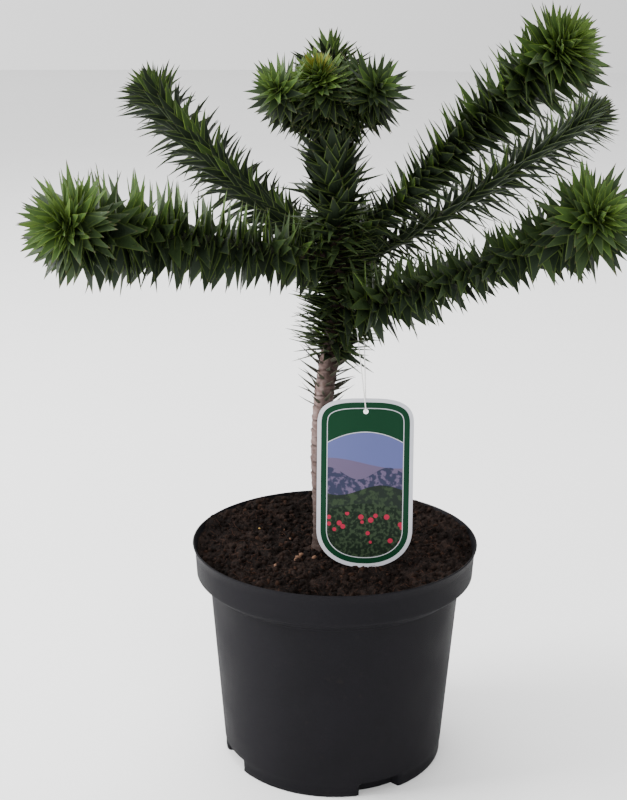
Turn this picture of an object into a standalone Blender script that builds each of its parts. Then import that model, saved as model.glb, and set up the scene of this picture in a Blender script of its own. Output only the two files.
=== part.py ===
"""A young monkey puzzle tree in a round nursery pot, with a hanging label tied to a bough.

The origin is the middle of the pot's flat underside, and the plant's front faces -Y.
"""

import math
import random

import bmesh
import bpy
import numpy as np
from mathutils import Vector
from mathutils.bvhtree import BVHTree

# Space left between solids that touch on the real plant
GAP = 0.0003

# Meshing: points closer than this are one, and edges sharper than this stay sharp
WELD_DISTANCE = 1e-5
SHARP_ANGLE = math.radians(35)

# Five litre nursery pot: a flared lip, a band, a sloping shoulder and a tapering body
POT_HEIGHT = 0.180
RIM_RADIUS = 0.1132
BAND_TOP = 0.172
BAND_TOP_RADIUS = 0.1112
BAND_BOTTOM = 0.1552
BAND_RADIUS = 0.1102
SHOULDER_BOTTOM = 0.1460
BODY_RADIUS = 0.0997
FOOT_RADIUS = 0.0886
FOOT_ROUNDING = 0.0015
POT_WALL = 0.0016
POT_FLOOR = 0.0030
LIP_ROUNDING = 0.0005
POT_SIDES = 48
SHOULDER_STEPS = 3

# Drain notches in the edge of the foot
NOTCHES = 4
NOTCH_WIDTH = 0.034
NOTCH_HEIGHT = 0.0095
NOTCH_DEPTH = 0.0085
FIRST_NOTCH = 25.0

# Potting soil, almost level with the rim
SOIL_TOP = 0.1717
SOIL_SIDES = 48

# Trunk: heights above the pot's underside, its sideways line there and its radius
TRUNK_HEIGHTS = (0.172, 0.212, 0.246, 0.298, 0.336, 0.370, 0.403, 0.450, 0.520)
TRUNK_LINE = (-0.0077, -0.0096, -0.0114, -0.0095, -0.0044, 0.0006, 0.0003, -0.0025, -0.0071)
TRUNK_TOP = 0.520
TRUNK_FOOT_RADIUS = 0.0082
TRUNK_TOP_RADIUS = 0.0048
TRUNK_TAPER_POWER = 1.6
FLARE = 0.0030
FLARE_HEIGHT = 0.010
FLARE_SPACING = 1.25
TRUNK_RINGS = 22
TRUNK_SIDES = 12

# Boughs: a short bare limb carries each leafy shoot
LIMB_REACH = 0.025
LIMB_RADIUS = 0.0054
LIMB_END_RADIUS = 0.0050
LIMB_SIDES = 8
LIMB_RINGS = 4

# Shoots: a stem with stiff pointed leaves in a spiral round it
STEM_RADIUS = 0.0058
STEM_TIP_RADIUS = 0.0040
STEM_SIDES = 4
STEM_RINGS = 6
GOLDEN_ANGLE = math.radians(137.508)
ANGLE_SPREAD = math.radians(9.0)
LEAN_SPREAD = math.radians(7.0)
LENGTH_SPREAD = 0.10
ROOT_DEPTH = 0.85
LEAF_WIDTH = 0.46
CROWDED_FOOT = 0.25
LEAF_WIDEST = 0.38
LEAF_KEEL = 0.0021
TIP_SHARE = 0.26
TIP_ZONE = 0.016
TIP_SINK = 0.003
TIP_SHORTENING = 0.25
CLOSING_POWER = 0.8
GROWN_SHARE = 0.45
UNDERSIDE_GROWTH = 0.18
SHOOT_LEANS = (72.0, 60.0)

# Azimuths in degrees from +X towards +Y, lengths in metres, and swings as shares of the reach
SWING_POWER = 4
BOUGHS = {
    "left_front": dict(
        azimuth=193, attach=0.406, reach=0.205, rise=0.038, bend=1.15, swing=0.26,
        leaves=112, inner=0.032, outer=0.046,
    ),
    "left_back": dict(
        azimuth=140, attach=0.418, reach=0.202, rise=0.104, bend=1.60, swing=0.0,
        leaves=100, inner=0.028, outer=0.034,
    ),
    "back": dict(
        azimuth=81, attach=0.381, reach=0.128, rise=0.032, bend=1.00, swing=0.0,
        leaves=58, inner=0.027, outer=0.031,
    ),
    "right_back": dict(
        azimuth=27, attach=0.397, reach=0.228, rise=0.109, bend=1.20, swing=0.0,
        leaves=114, inner=0.026, outer=0.031,
    ),
    "right_high": dict(
        azimuth=9, attach=0.412, reach=0.146, rise=0.152, bend=1.20, swing=-0.50,
        leaves=112, inner=0.032, outer=0.041,
    ),
    "right_front": dict(
        azimuth=-32, attach=0.367, reach=0.221, rise=0.094, bend=1.20, swing=-0.20,
        leaves=110, inner=0.033, outer=0.037,
    ),
}

# Young shoots of the top whorl, which grow straight out of the trunk
CROWN_SHOOTS = {
    "crown_left": dict(
        azimuth=194, attach=0.509, reach=0.045, rise=0.023, bend=1.3, swing=0.36,
        leaves=56, inner=0.030, outer=0.032,
    ),
    "crown_right": dict(
        azimuth=-14, attach=0.511, reach=0.040, rise=0.022, bend=1.3, swing=-0.36,
        leaves=56, inner=0.030, outer=0.032,
    ),
    "crown_back": dict(
        azimuth=92, attach=0.498, reach=0.028, rise=0.056, bend=1.2, swing=0.0,
        leaves=48, inner=0.028, outer=0.030,
    ),
}
CROWN_STEM_RADIUS = 0.0048
CROWN_TIP = (-0.0160, -0.021, 0.542)
CROWN_CENTRE = dict(leaves=60, inner=0.029, outer=0.027)

# Leafy sleeves round the trunk, cut clear of it and of the limbs
SLEEVE_WALL = 0.0034
SLEEVE_ROOT = 0.5
SLEEVE_SIDES = 8
SLEEVE_RINGS = 4
SLEEVES = {
    "whorl": dict(bottom=0.338, top=0.4325, leaves=64, length=0.031, lean=(112, 70)),
    "leader": dict(bottom=0.4330, top=0.4920, leaves=74, length=0.033, lean=(46, 34)),
}

# Hanging label: it stands on the soil, leans back and is tied to the right front bough
LABEL_WIDTH = 0.0737
LABEL_HEIGHT = 0.1316
LABEL_THICKNESS = 0.0007
LABEL_FOOT = (0.0227, -0.0394)
LABEL_LEAN = math.radians(8.0)
LABEL_TOP_CURVE = 0.022
LABEL_TOP_POWER = 3.0
LABEL_FOOT_CURVE = 0.030
LABEL_FOOT_POWER = 2.2
LABEL_STEPS = 10
LABEL_HOLE_HEIGHT = 0.1215
LABEL_HOLE_RADIUS = 0.0020
LABEL_HOLE_SIDES = 20
TIE_RADIUS = 0.0005
TIE_REACH = 0.0190
TIE_LOOP_RADIUS = 0.0014
TIE_LOOP_LIFT = 0.0008
TIE_STEPS = 8
TIE_SIDES = 6

SEED = 11


def clear_scene():
    """Remove every object of the scene that the file was opened with."""
    for obj in list(bpy.data.objects):
        bpy.data.objects.remove(obj, do_unlink=True)


def make_material(name, colour, roughness, specular=0.5):
    """One Principled material with a plain colour."""
    material = bpy.data.materials.new(name)
    material.use_nodes = True
    shader = material.node_tree.nodes["Principled BSDF"]
    shader.inputs["Base Color"].default_value = (*colour, 1.0)
    shader.inputs["Roughness"].default_value = roughness
    shader.inputs["Metallic"].default_value = 0.0
    shader.inputs["Specular IOR Level"].default_value = specular
    material.diffuse_color = (*colour, 1.0)
    return material


def make_object(name, vertices, faces, material, smooth=False):
    """A mesh object in the scene, from points and faces."""
    mesh = bpy.data.meshes.new(name)
    mesh.from_pydata([tuple(point) for point in vertices], [], faces)
    mesh.materials.append(material)
    if smooth:
        mesh.shade_smooth()
        mesh.set_sharp_from_angle(angle=SHARP_ANGLE)
    obj = bpy.data.objects.new(name, mesh)
    bpy.context.scene.collection.objects.link(obj)
    return obj


def remove_object(obj):
    """Take an object and its mesh out of the file."""
    mesh = obj.data
    bpy.data.objects.remove(obj, do_unlink=True)
    bpy.data.meshes.remove(mesh)


def apply_modifiers(obj):
    """Replace the object's mesh by the one that its modifiers give."""
    graph = bpy.context.evaluated_depsgraph_get()
    mesh = bpy.data.meshes.new_from_object(obj.evaluated_get(graph))
    old = obj.data
    obj.modifiers.clear()
    obj.data = mesh
    bpy.data.meshes.remove(old)
    mesh.name = obj.name


def cut_by(obj, cutters):
    """Cut closed meshes out of an object and remove them afterwards."""
    for cutter in cutters:
        cutter.hide_render = True
        cutter.display_type = "WIRE"
        modifier = obj.modifiers.new("Cut", "BOOLEAN")
        modifier.operation = "DIFFERENCE"
        modifier.solver = "EXACT"
        modifier.object = cutter
    apply_modifiers(obj)
    for cutter in cutters:
        remove_object(cutter)


def tree_of(objects):
    """One search tree over the faces of several objects."""
    points, faces = [], []
    for obj in objects:
        start = len(points)
        points.extend(vertex.co.copy() for vertex in obj.data.vertices)
        faces.extend([start + corner for corner in face.vertices] for face in obj.data.polygons)
    return BVHTree.FromPolygons(points, faces)


def smooth_value(knots, values, at):
    """Cubic through the knots, each slope taken from the two neighbours."""
    knots, values, at = (np.asarray(item, float) for item in (knots, values, at))
    slopes = np.gradient(values, knots)
    low = np.clip(np.searchsorted(knots, at) - 1, 0, len(knots) - 2)
    step = knots[low + 1] - knots[low]
    part = (at - knots[low]) / step
    rising = part**2 * (3 - 2 * part)
    value = values[low] * (1 - rising) + values[low + 1] * rising
    bend = slopes[low] * part * (1 - part) ** 2 - slopes[low + 1] * part**2 * (1 - part)
    return value + step * bend


def trunk_axis(heights):
    """Points of the trunk's middle line at the given heights."""
    heights = np.atleast_1d(np.asarray(heights, float))
    line = smooth_value(TRUNK_HEIGHTS, TRUNK_LINE, heights)
    return np.stack([line, np.zeros_like(heights), heights], axis=1)


def trunk_radius(heights):
    """Even taper from foot to top, with a flare that dies away above the soil."""
    above = np.atleast_1d(np.asarray(heights, float)) - SOIL_TOP
    share = above / (TRUNK_TOP - SOIL_TOP)
    taper = TRUNK_FOOT_RADIUS + (TRUNK_TOP_RADIUS - TRUNK_FOOT_RADIUS) * share**TRUNK_TAPER_POWER
    return taper + FLARE * np.exp(-above / FLARE_HEIGHT)


def frames_along(path, tangents=None):
    """Unit tangents and two crosswise directions, turned as little as possible from point to point."""
    tangents = np.gradient(path, axis=0) if tangents is None else tangents.copy()
    tangents /= np.linalg.norm(tangents, axis=1)[:, None]
    first = Vector((0.0, 0.0, 1.0)) if abs(tangents[0][2]) < 0.9 else Vector((0.0, -1.0, 0.0))
    across, others = [], []
    for tangent in map(Vector, tangents):
        first = (first - tangent * first.dot(tangent)).normalized()
        across.append(first)
        others.append(tangent.cross(first))
    return tangents, np.array(across), np.array(others)


def rings_along(path, radii, sides, tangents=None):
    """Round cross-sections of the given radii, as an array of rings by sides by 3."""
    _, across, other = frames_along(path, tangents)
    turn = 2 * math.pi * np.arange(sides) / sides
    wheel = across[:, None] * np.cos(turn)[None, :, None] + other[:, None] * np.sin(turn)[None, :, None]
    return path[:, None] + wheel * np.asarray(radii)[:, None, None]


def skin(rings, sides, closed=False):
    """Quads between neighbouring rings."""
    faces = []
    for ring in range(rings if closed else rings - 1):
        low = ring * sides
        high = (ring + 1) % rings * sides
        for side in range(sides):
            after = (side + 1) % sides
            faces.append((low + side, low + after, high + after, high + side))
    return faces


def make_tube(name, path, radii, sides, material, tangents=None):
    """A tapering rod along a path, closed with flat ends."""
    rings = rings_along(path, radii, sides, tangents)
    count = len(path)
    faces = skin(count, sides)
    faces.append(tuple(reversed(range(sides))))
    faces.append(tuple((count - 1) * sides + side for side in range(sides)))
    return make_object(name, rings.reshape(-1, 3), faces, material, smooth=True)


def make_ring_tube(name, path, radius, sides, material):
    """An even rod along a closed path."""
    count = len(path)
    wrapped = np.concatenate([path[-2:], path, path[:2]])
    rings = rings_along(wrapped, np.full(len(wrapped), radius), sides)[2:-2]
    return make_object(name, rings.reshape(-1, 3), skin(count, sides, closed=True), material, smooth=True)


def turn_outline(name, outline, sides, material):
    """Spin an outline of radius and height pairs round the Z axis."""
    work = bmesh.new()
    points = [work.verts.new((radius, 0.0, height)) for radius, height in outline]
    edges = [work.edges.new(pair) for pair in zip(points, points[1:])]
    turned = points + edges
    bmesh.ops.spin(work, geom=turned, axis=(0, 0, 1), angle=2 * math.pi, steps=sides, use_merge=True)
    bmesh.ops.remove_doubles(work, verts=work.verts, dist=WELD_DISTANCE)
    bmesh.ops.recalc_face_normals(work, faces=work.faces)
    mesh = bpy.data.meshes.new(name)
    work.to_mesh(mesh)
    work.free()
    mesh.materials.append(material)
    mesh.shade_smooth()
    mesh.set_sharp_from_angle(angle=SHARP_ANGLE)
    obj = bpy.data.objects.new(name, mesh)
    bpy.context.scene.collection.objects.link(obj)
    return obj


def pot_wall_line(inset):
    """The wall from foot to rim, as radius and height pairs, moved inwards by the inset."""
    line = [(FOOT_RADIUS, FOOT_ROUNDING), (BODY_RADIUS, SHOULDER_BOTTOM)]
    for step in range(1, SHOULDER_STEPS + 1):
        part = step / SHOULDER_STEPS
        eased = (part + part * part * (3 - 2 * part)) / 2
        radius = BODY_RADIUS + (BAND_RADIUS - BODY_RADIUS) * eased
        line.append((radius, SHOULDER_BOTTOM + (BAND_BOTTOM - SHOULDER_BOTTOM) * part))
    line.append((BAND_TOP_RADIUS, BAND_TOP))
    line.append((RIM_RADIUS, POT_HEIGHT - LIP_ROUNDING))
    return [(radius - inset, height) for radius, height in line]


def make_pot(material):
    """The pot, turned from its outline, with four drain notches cut in its foot."""
    outside = pot_wall_line(0.0)
    inside = pot_wall_line(POT_WALL)
    outline = [(0.0, 0.0), (FOOT_RADIUS - FOOT_ROUNDING, 0.0)] + outside
    outline.append((RIM_RADIUS - LIP_ROUNDING, POT_HEIGHT))
    outline.append((RIM_RADIUS - POT_WALL + LIP_ROUNDING, POT_HEIGHT))
    outline += list(reversed(inside[1:]))
    outline += [(FOOT_RADIUS - POT_WALL, POT_FLOOR), (0.0, POT_FLOOR)]
    pot = turn_outline("pot", outline, POT_SIDES, material)
    cutters = []
    for index in range(NOTCHES):
        angle = math.radians(FIRST_NOTCH + index * 360 / NOTCHES)
        inner = FOOT_RADIUS - NOTCH_DEPTH
        outer = FOOT_RADIUS + NOTCH_DEPTH
        cutter = make_box(
            f"notch_{index}",
            (inner, -NOTCH_WIDTH / 2, -NOTCH_HEIGHT),
            (outer, NOTCH_WIDTH / 2, NOTCH_HEIGHT),
            angle,
            material,
        )
        cutters.append(cutter)
    cut_by(pot, cutters)
    return pot


def make_box(name, low, high, angle, material):
    """A box given by two corners and turned about the Z axis."""
    corners = [(x, y, z) for x in (low[0], high[0]) for y in (low[1], high[1]) for z in (low[2], high[2])]
    turned = [
        (x * math.cos(angle) - y * math.sin(angle), x * math.sin(angle) + y * math.cos(angle), z)
        for x, y, z in corners
    ]
    faces = [(0, 1, 3, 2), (4, 6, 7, 5), (0, 4, 5, 1), (2, 3, 7, 6), (0, 2, 6, 4), (1, 5, 7, 3)]
    return make_object(name, turned, faces, material)


def make_soil(material):
    """The soil fills the pot from just above the floor to its flat top."""
    inside = pot_wall_line(POT_WALL + GAP)
    foot = inside[0][0]
    notch_clear = FOOT_RADIUS - NOTCH_DEPTH
    outline = [(0.0, POT_FLOOR + GAP), (notch_clear, POT_FLOOR + GAP), (foot, NOTCH_HEIGHT + POT_FLOOR)]
    outline += [pair for pair in inside[1:] if pair[1] < SOIL_TOP]
    share = (SOIL_TOP - BAND_BOTTOM) / (BAND_TOP - BAND_BOTTOM)
    top_radius = BAND_RADIUS + (BAND_TOP_RADIUS - BAND_RADIUS) * share - POT_WALL - GAP
    outline += [(top_radius, SOIL_TOP), (0.0, SOIL_TOP)]
    return turn_outline("potting_soil", outline, SOIL_SIDES, material)


def make_upright(name, path, radii, sides, material):
    """A rod that stands up, with level rings and level ends."""
    tangents = np.tile([0.0, 0.0, 1.0], (len(path), 1))
    return make_tube(name, path, radii, sides, material, tangents)


def make_trunk(name, extra, material):
    """The whole trunk, from a flat cut on the soil to the top whorl, grown by the extra width."""
    foot = SOIL_TOP + GAP
    heights = foot + (TRUNK_TOP - foot) * np.linspace(0.0, 1.0, TRUNK_RINGS) ** FLARE_SPACING
    radii = trunk_radius(heights) + extra
    return make_upright(name, trunk_axis(heights), radii, TRUNK_SIDES, material)


def bough_points(bough, distances):
    """Points of a bough's middle line at the given distances from the trunk's line.

    The line leaves along its azimuth and rises with a power of the distance's share. It
    swings sideways with a higher power, so that only its end turns.
    """
    distances = np.asarray(distances, float)
    angle = math.radians(bough["azimuth"])
    start = trunk_axis(bough["attach"])[0]
    share = distances / bough["reach"]
    rise = bough["rise"] * share ** bough["bend"]
    aside = bough["swing"] * bough["reach"] * share**SWING_POWER
    out_x = math.cos(angle) * distances - math.sin(angle) * aside
    out_y = math.sin(angle) * distances + math.cos(angle) * aside
    return start + np.stack([out_x, out_y, rise], axis=1)


def bough_tangents(bough, distances):
    """Direction of a bough's middle line at the given distances, from two points close by."""
    distances = np.maximum(distances, 2 * GAP)
    return bough_points(bough, distances + GAP) - bough_points(bough, distances - GAP)


def make_limb(name, bough, extra, material):
    """The bare foot of a bough, from the trunk's line outwards, grown by the extra width."""
    distances = np.linspace(0.0, LIMB_REACH, LIMB_RINGS)
    radii = np.linspace(LIMB_RADIUS, LIMB_END_RADIUS, LIMB_RINGS) + extra
    tangents = bough_tangents(bough, distances)
    return make_tube(name, bough_points(bough, distances), radii, LIMB_SIDES, material, tangents)


def label_axes():
    """Foot point, sideways, upwards and outward directions of the leaning label."""
    foot = Vector((*LABEL_FOOT, SOIL_TOP + GAP))
    upward = Vector((0.0, math.sin(LABEL_LEAN), math.cos(LABEL_LEAN)))
    outward = Vector((0.0, -math.cos(LABEL_LEAN), math.sin(LABEL_LEAN)))
    return foot, Vector((1.0, 0.0, 0.0)), upward, outward


def label_outline():
    """Rounded foot and a flatter rounded top, both as superellipses, anticlockwise from the right."""
    half = LABEL_WIDTH / 2
    top = (0.0, LABEL_HEIGHT - LABEL_TOP_CURVE, LABEL_TOP_CURVE, LABEL_TOP_POWER)
    low = (math.pi, LABEL_FOOT_CURVE, LABEL_FOOT_CURVE, LABEL_FOOT_POWER)
    outline = []
    for first_angle, base, height, power in (top, low):
        for step in range(2 * LABEL_STEPS + 1):
            angle = first_angle + math.pi * step / (2 * LABEL_STEPS)
            side = math.copysign(abs(math.cos(angle)) ** (2 / power), math.cos(angle))
            bulge = math.copysign(abs(math.sin(angle)) ** (2 / power), math.sin(angle))
            outline.append((half * side, base + height * bulge))
    return outline


def make_label(material):
    """A thin plastic label with a round hole for its tie."""
    foot, sideways, upward, outward = label_axes()
    outline = label_outline()
    points = []
    for face_side in (1.0, -1.0):
        shift = outward * (face_side * LABEL_THICKNESS / 2)
        points += [foot + sideways * x + upward * height + shift for x, height in outline]
    count = len(outline)
    faces = [tuple(range(count)), tuple(reversed(range(count, 2 * count)))]
    for index in range(count):
        after = (index + 1) % count
        faces.append((after, index, count + index, count + after))
    label = make_object("hang_label", points, faces, material)
    hole = foot + upward * LABEL_HOLE_HEIGHT
    reach = outward * (5 * LABEL_THICKNESS)
    path = np.array([hole - reach, hole, hole + reach])
    radii = np.full(len(path), LABEL_HOLE_RADIUS)
    cut_by(label, [make_tube("label_hole", path, radii, LABEL_HOLE_SIDES, material)])
    return label


def tie_path():
    """A closed loop: over the bough, down behind the label, through its hole and up again."""
    bough = BOUGHS["right_front"]
    foot, _, upward, outward = label_axes()
    angle = math.radians(bough["azimuth"])
    crosswise = Vector((-math.sin(angle), math.cos(angle), 0.0))
    over = Vector(bough_points(bough, [TIE_REACH])[0])
    loop = LIMB_RADIUS + 2 * GAP + TIE_RADIUS
    hole = foot + upward * LABEL_HOLE_HEIGHT
    rise = Vector((0.0, 0.0, 1.0))
    top = []
    bottom = []
    for step in range(TIE_STEPS + 1):
        turn = math.pi * step / TIE_STEPS
        top.append(over + crosswise * (loop * math.cos(turn)) + rise * (loop * math.sin(turn)))
        swing = outward * math.cos(turn) - upward * math.sin(turn)
        bottom.append(hole + upward * TIE_LOOP_LIFT + swing * TIE_LOOP_RADIUS)
    front = [top[-1].lerp(bottom[0], step / TIE_STEPS) for step in range(1, TIE_STEPS)]
    behind = [bottom[-1].lerp(top[0], step / TIE_STEPS) for step in range(1, TIE_STEPS)]
    return np.array([tuple(point) for point in top + front + bottom + behind])


LEAF_FACES = ((0, 2, 1), (1, 2, 4), (0, 1, 3), (1, 4, 3), (4, 2, 3), (2, 0, 3))


def leaf_points(root, along, across, length, width):
    """A flat-topped pointed leaf with a keel below, widest a third of the way along."""
    upper = across.cross(along)
    middle = root + along * (length * LEAF_WIDEST)
    half = across * (width / 2)
    return [root, middle - half, middle + half, middle - upper * LEAF_KEEL, root + along * length]


def spiral_leaves(growth, draw):
    """Leaves in a golden spiral: along the stem first, then closing over its tip.

    Each is a root point, a direction, a crosswise direction and a length. The lean is the
    angle between a leaf and its stem, and leaves under a level stem grow a little longer.
    """
    path, depths, tips = growth["path"], growth["depths"], growth["tips"]
    lengths, leans = growth["lengths"], growth["leans"]
    tangents, across, other = frames_along(path)
    steps = np.linalg.norm(np.diff(path, axis=0), axis=1)
    travelled = np.concatenate([[0.0], np.cumsum(steps)])
    along_count = growth["leaves"] - tips
    tip_zone = TIP_ZONE if tips else 0.0
    for index in range(growth["leaves"]):
        turn = index * GOLDEN_ANGLE + draw.uniform(-1, 1) * ANGLE_SPREAD
        closing = max(0.0, (index - along_count + 1) / tips) if tips else 0.0
        share = min(1.0, (index + 0.5) / along_count)
        distance = (travelled[-1] - tip_zone) * share + tip_zone * closing
        place = [np.interp(distance, travelled, path[:, axis]) for axis in range(3)]
        near = int(np.argmin(np.abs(travelled - distance)))
        tangent = Vector(tangents[near])
        radial = Vector(across[near]) * math.cos(turn) + Vector(other[near]) * math.sin(turn)
        lean = math.radians(leans[0] + (leans[1] - leans[0]) * share) * (1 - closing) ** CLOSING_POWER
        lean += draw.uniform(-1, 1) * LEAN_SPREAD * (1 - closing)
        grown = min(1.0, share / GROWN_SHARE)
        length = lengths[0] + (lengths[1] - lengths[0]) * grown * grown * (3 - 2 * grown)
        length *= 1 + draw.uniform(-1, 1) * LENGTH_SPREAD - UNDERSIDE_GROWTH * radial.z * abs(math.sin(lean))
        length *= 1 - TIP_SHORTENING * closing
        along = tangent * math.cos(lean) + radial * math.sin(lean)
        depth = np.interp(distance, travelled, depths)
        root = Vector(place) + radial * (depth * (1 - closing)) - tangent * (TIP_SINK * closing)
        yield root, along, tangent.cross(radial), length


def clear_leaf(points, blocked, neighbours):
    """True when a leaf grown by the gap meets no other node, and its free end no leaf of its own."""
    middle = sum(points, Vector()) / len(points)
    grown = [point + (point - middle).normalized() * (2 * GAP) for point in points]
    leaf = BVHTree.FromPolygons(grown, LEAF_FACES)
    if any(leaf.overlap(tree) for tree in blocked):
        return False
    free = [points[0].lerp(points[-1], CROWDED_FOOT)] + points[1:]
    end = BVHTree.FromPolygons(free, LEAF_FACES)
    return not any(end.overlap(tree) for tree in neighbours)


def drop_scraps(mesh):
    """Keep the largest closed shell: loose scraps and the walls of sealed hollows go."""
    work = bmesh.new()
    work.from_mesh(mesh)
    bmesh.ops.triangulate(work, faces=work.faces)
    work.faces.ensure_lookup_table()
    waiting = set(work.faces)
    shells = []
    while waiting:
        shell, edge_of_search = [], [waiting.pop()]
        while edge_of_search:
            face = edge_of_search.pop()
            shell.append(face)
            for edge in face.edges:
                for neighbour in edge.link_faces:
                    if neighbour in waiting:
                        waiting.remove(neighbour)
                        edge_of_search.append(neighbour)
        shells.append(shell)
    shells.sort(key=len)
    scraps = [face for shell in shells[:-1] for face in shell]
    bmesh.ops.delete(work, geom=scraps, context="FACES")
    work.to_mesh(mesh)
    work.free()


def fuse_leaves(core, candidates, blocked):
    """Join the leaves that have room to their core with one Boolean union."""
    collection = bpy.data.collections.new(f"{core.name}_leaves")
    bpy.context.scene.collection.children.link(collection)
    grown = []
    neighbours = []
    for root, along, across, length in candidates:
        points = leaf_points(root, along, across, length, LEAF_WIDTH * length)
        if not clear_leaf(points, blocked, neighbours):
            continue
        neighbours.append(BVHTree.FromPolygons(points, LEAF_FACES))
        leaf = make_object(f"{core.name}_leaf", points, LEAF_FACES, core.data.materials[0])
        bpy.context.scene.collection.objects.unlink(leaf)
        collection.objects.link(leaf)
        grown.append(leaf)
    union = core.modifiers.new("Leaves", "BOOLEAN")
    union.operation = "UNION"
    union.operand_type = "COLLECTION"
    union.solver = "MANIFOLD"
    union.collection = collection
    apply_modifiers(core)
    for leaf in grown:
        remove_object(leaf)
    bpy.data.collections.remove(collection)
    drop_scraps(core.data)
    core.data.shade_flat()
    print(f"{core.name}: {len(grown)} leaves, {len(core.data.polygons)} triangles")


def shoot_growth(core, path, shoot):
    """How the leaves of a shoot grow: their number, lengths and leans along its path."""
    return dict(
        core=core,
        path=path,
        depths=np.full(len(path), STEM_RADIUS * (1 - ROOT_DEPTH)),
        leaves=shoot["leaves"],
        lengths=(shoot["inner"], shoot["outer"]),
        leans=SHOOT_LEANS,
        tips=round(shoot["leaves"] * TIP_SHARE),
    )


def make_stem(name, bough, start, radius, material):
    """Tapering stem of a leafy shoot, from the start distance to the bough's reach."""
    distances = np.linspace(start, bough["reach"], STEM_RINGS)
    radii = np.linspace(radius, STEM_TIP_RADIUS, STEM_RINGS)
    tangents = bough_tangents(bough, distances)
    return make_tube(name, bough_points(bough, distances), radii, STEM_SIDES, material, tangents)


def make_bough_shoots(material):
    """Stems that carry on from the limbs."""
    growths = []
    start = LIMB_REACH + GAP
    for name, bough in BOUGHS.items():
        stem = make_stem(f"foliage_{name}", bough, start, STEM_RADIUS, material)
        path = bough_points(bough, np.linspace(start, bough["reach"], STEM_RINGS))
        growths.append(shoot_growth(stem, path, bough))
    return growths


def make_crown_shoots(material):
    """Stems of the top whorl: one stands on the trunk's end, the others meet its side."""
    top = trunk_axis(TRUNK_TOP)[0] + np.array([0.0, 0.0, GAP])
    path = top + (np.array(CROWN_TIP) - top) * np.linspace(0.0, 1.0, STEM_RINGS)[:, None]
    radii = np.linspace(CROWN_STEM_RADIUS, STEM_TIP_RADIUS, STEM_RINGS)
    stem = make_upright("foliage_crown_centre", path, radii, STEM_SIDES, material)
    growths = [shoot_growth(stem, path, CROWN_CENTRE)]
    for name, bough in CROWN_SHOOTS.items():
        stem = make_stem(f"foliage_{name}", bough, 0.0, CROWN_STEM_RADIUS, material)
        cut_by(stem, [make_trunk("trunk_clearance", GAP, material)])
        path = bough_points(bough, np.linspace(TRUNK_TOP_RADIUS, bough["reach"], STEM_RINGS))
        growths.append(shoot_growth(stem, path, bough))
    return growths


def make_sleeve(name, material):
    """A leafy sleeve round the trunk, open for the trunk and the limbs that cross it."""
    sleeve = SLEEVES[name]
    heights = np.linspace(sleeve["bottom"], sleeve["top"], SLEEVE_RINGS)
    path = trunk_axis(heights)
    inner = trunk_radius(heights) + GAP
    core = make_upright(f"foliage_{name}", path, inner + SLEEVE_WALL, SLEEVE_SIDES, material)
    crossing = [make_limb(f"clearance_{key}", bough, GAP, material) for key, bough in BOUGHS.items()]
    cut_by(core, [make_trunk("trunk_clearance", GAP, material)] + crossing)
    drop_scraps(core.data)
    return dict(
        core=core,
        path=path,
        depths=inner + SLEEVE_WALL * SLEEVE_ROOT,
        leaves=sleeve["leaves"],
        lengths=(sleeve["length"], sleeve["length"]),
        leans=sleeve["lean"],
        tips=0,
    )


def make_plant(bark, leaf_green, label, tie):
    """Trunk, limbs and the masses of foliage, each grown clear of what is there before it."""
    trunk = make_trunk("trunk", 0.0, bark)
    limbs = []
    for name, bough in BOUGHS.items():
        limb = make_limb(f"bough_{name}", bough, 0.0, bark)
        cut_by(limb, [make_trunk("trunk_clearance", GAP, bark)])
        limbs.append(limb)
    firm = tree_of([trunk, label, tie] + limbs)

    growths = [make_sleeve("leader", leaf_green)]
    growths += make_bough_shoots(leaf_green)
    growths += make_crown_shoots(leaf_green)
    growths.append(make_sleeve("whorl", leaf_green))
    cores = {growth["core"].name: tree_of([growth["core"]]) for growth in growths}

    draw = random.Random(SEED)
    finished = []
    for growth in growths:
        core = growth["core"]
        others = [tree for name, tree in cores.items() if name != core.name]
        fuse_leaves(core, spiral_leaves(growth, draw), [firm] + finished + others)
        finished.append(tree_of([core]))


def main():
    clear_scene()
    plastic = make_material("charcoal plastic", (0.052, 0.052, 0.056), 0.55)
    peat = make_material("peat", (0.022, 0.013, 0.009), 0.95)
    bark = make_material("young bark", (0.150, 0.095, 0.070), 0.85)
    leaf_green = make_material("stiff green leaf", (0.035, 0.090, 0.022), 0.45)
    label_sheet = make_material("label plastic", (0.75, 0.78, 0.74), 0.35)
    white_thread = make_material("white thread", (0.80, 0.80, 0.76), 0.60)

    make_pot(plastic)
    make_soil(peat)
    label = make_label(label_sheet)
    tie = make_ring_tube("label_tie", tie_path(), TIE_RADIUS, TIE_SIDES, white_thread)
    make_plant(bark, leaf_green, label, tie)


main()
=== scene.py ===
# %% [markdown]
# # A young monkey puzzle tree in a nursery pot
#
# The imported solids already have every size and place. This file gives them their looks:
# the smooth plastic pot, the crumbly peat, the ringed bark, a few thousand stiff leaves in
# spirals, and the printed label on its thread. Each cell makes one piece or one finish.
# Nearly every shape is worked out with whole numpy arrays, which is quick and easy to tune.

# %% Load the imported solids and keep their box
import itertools
import math

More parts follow.
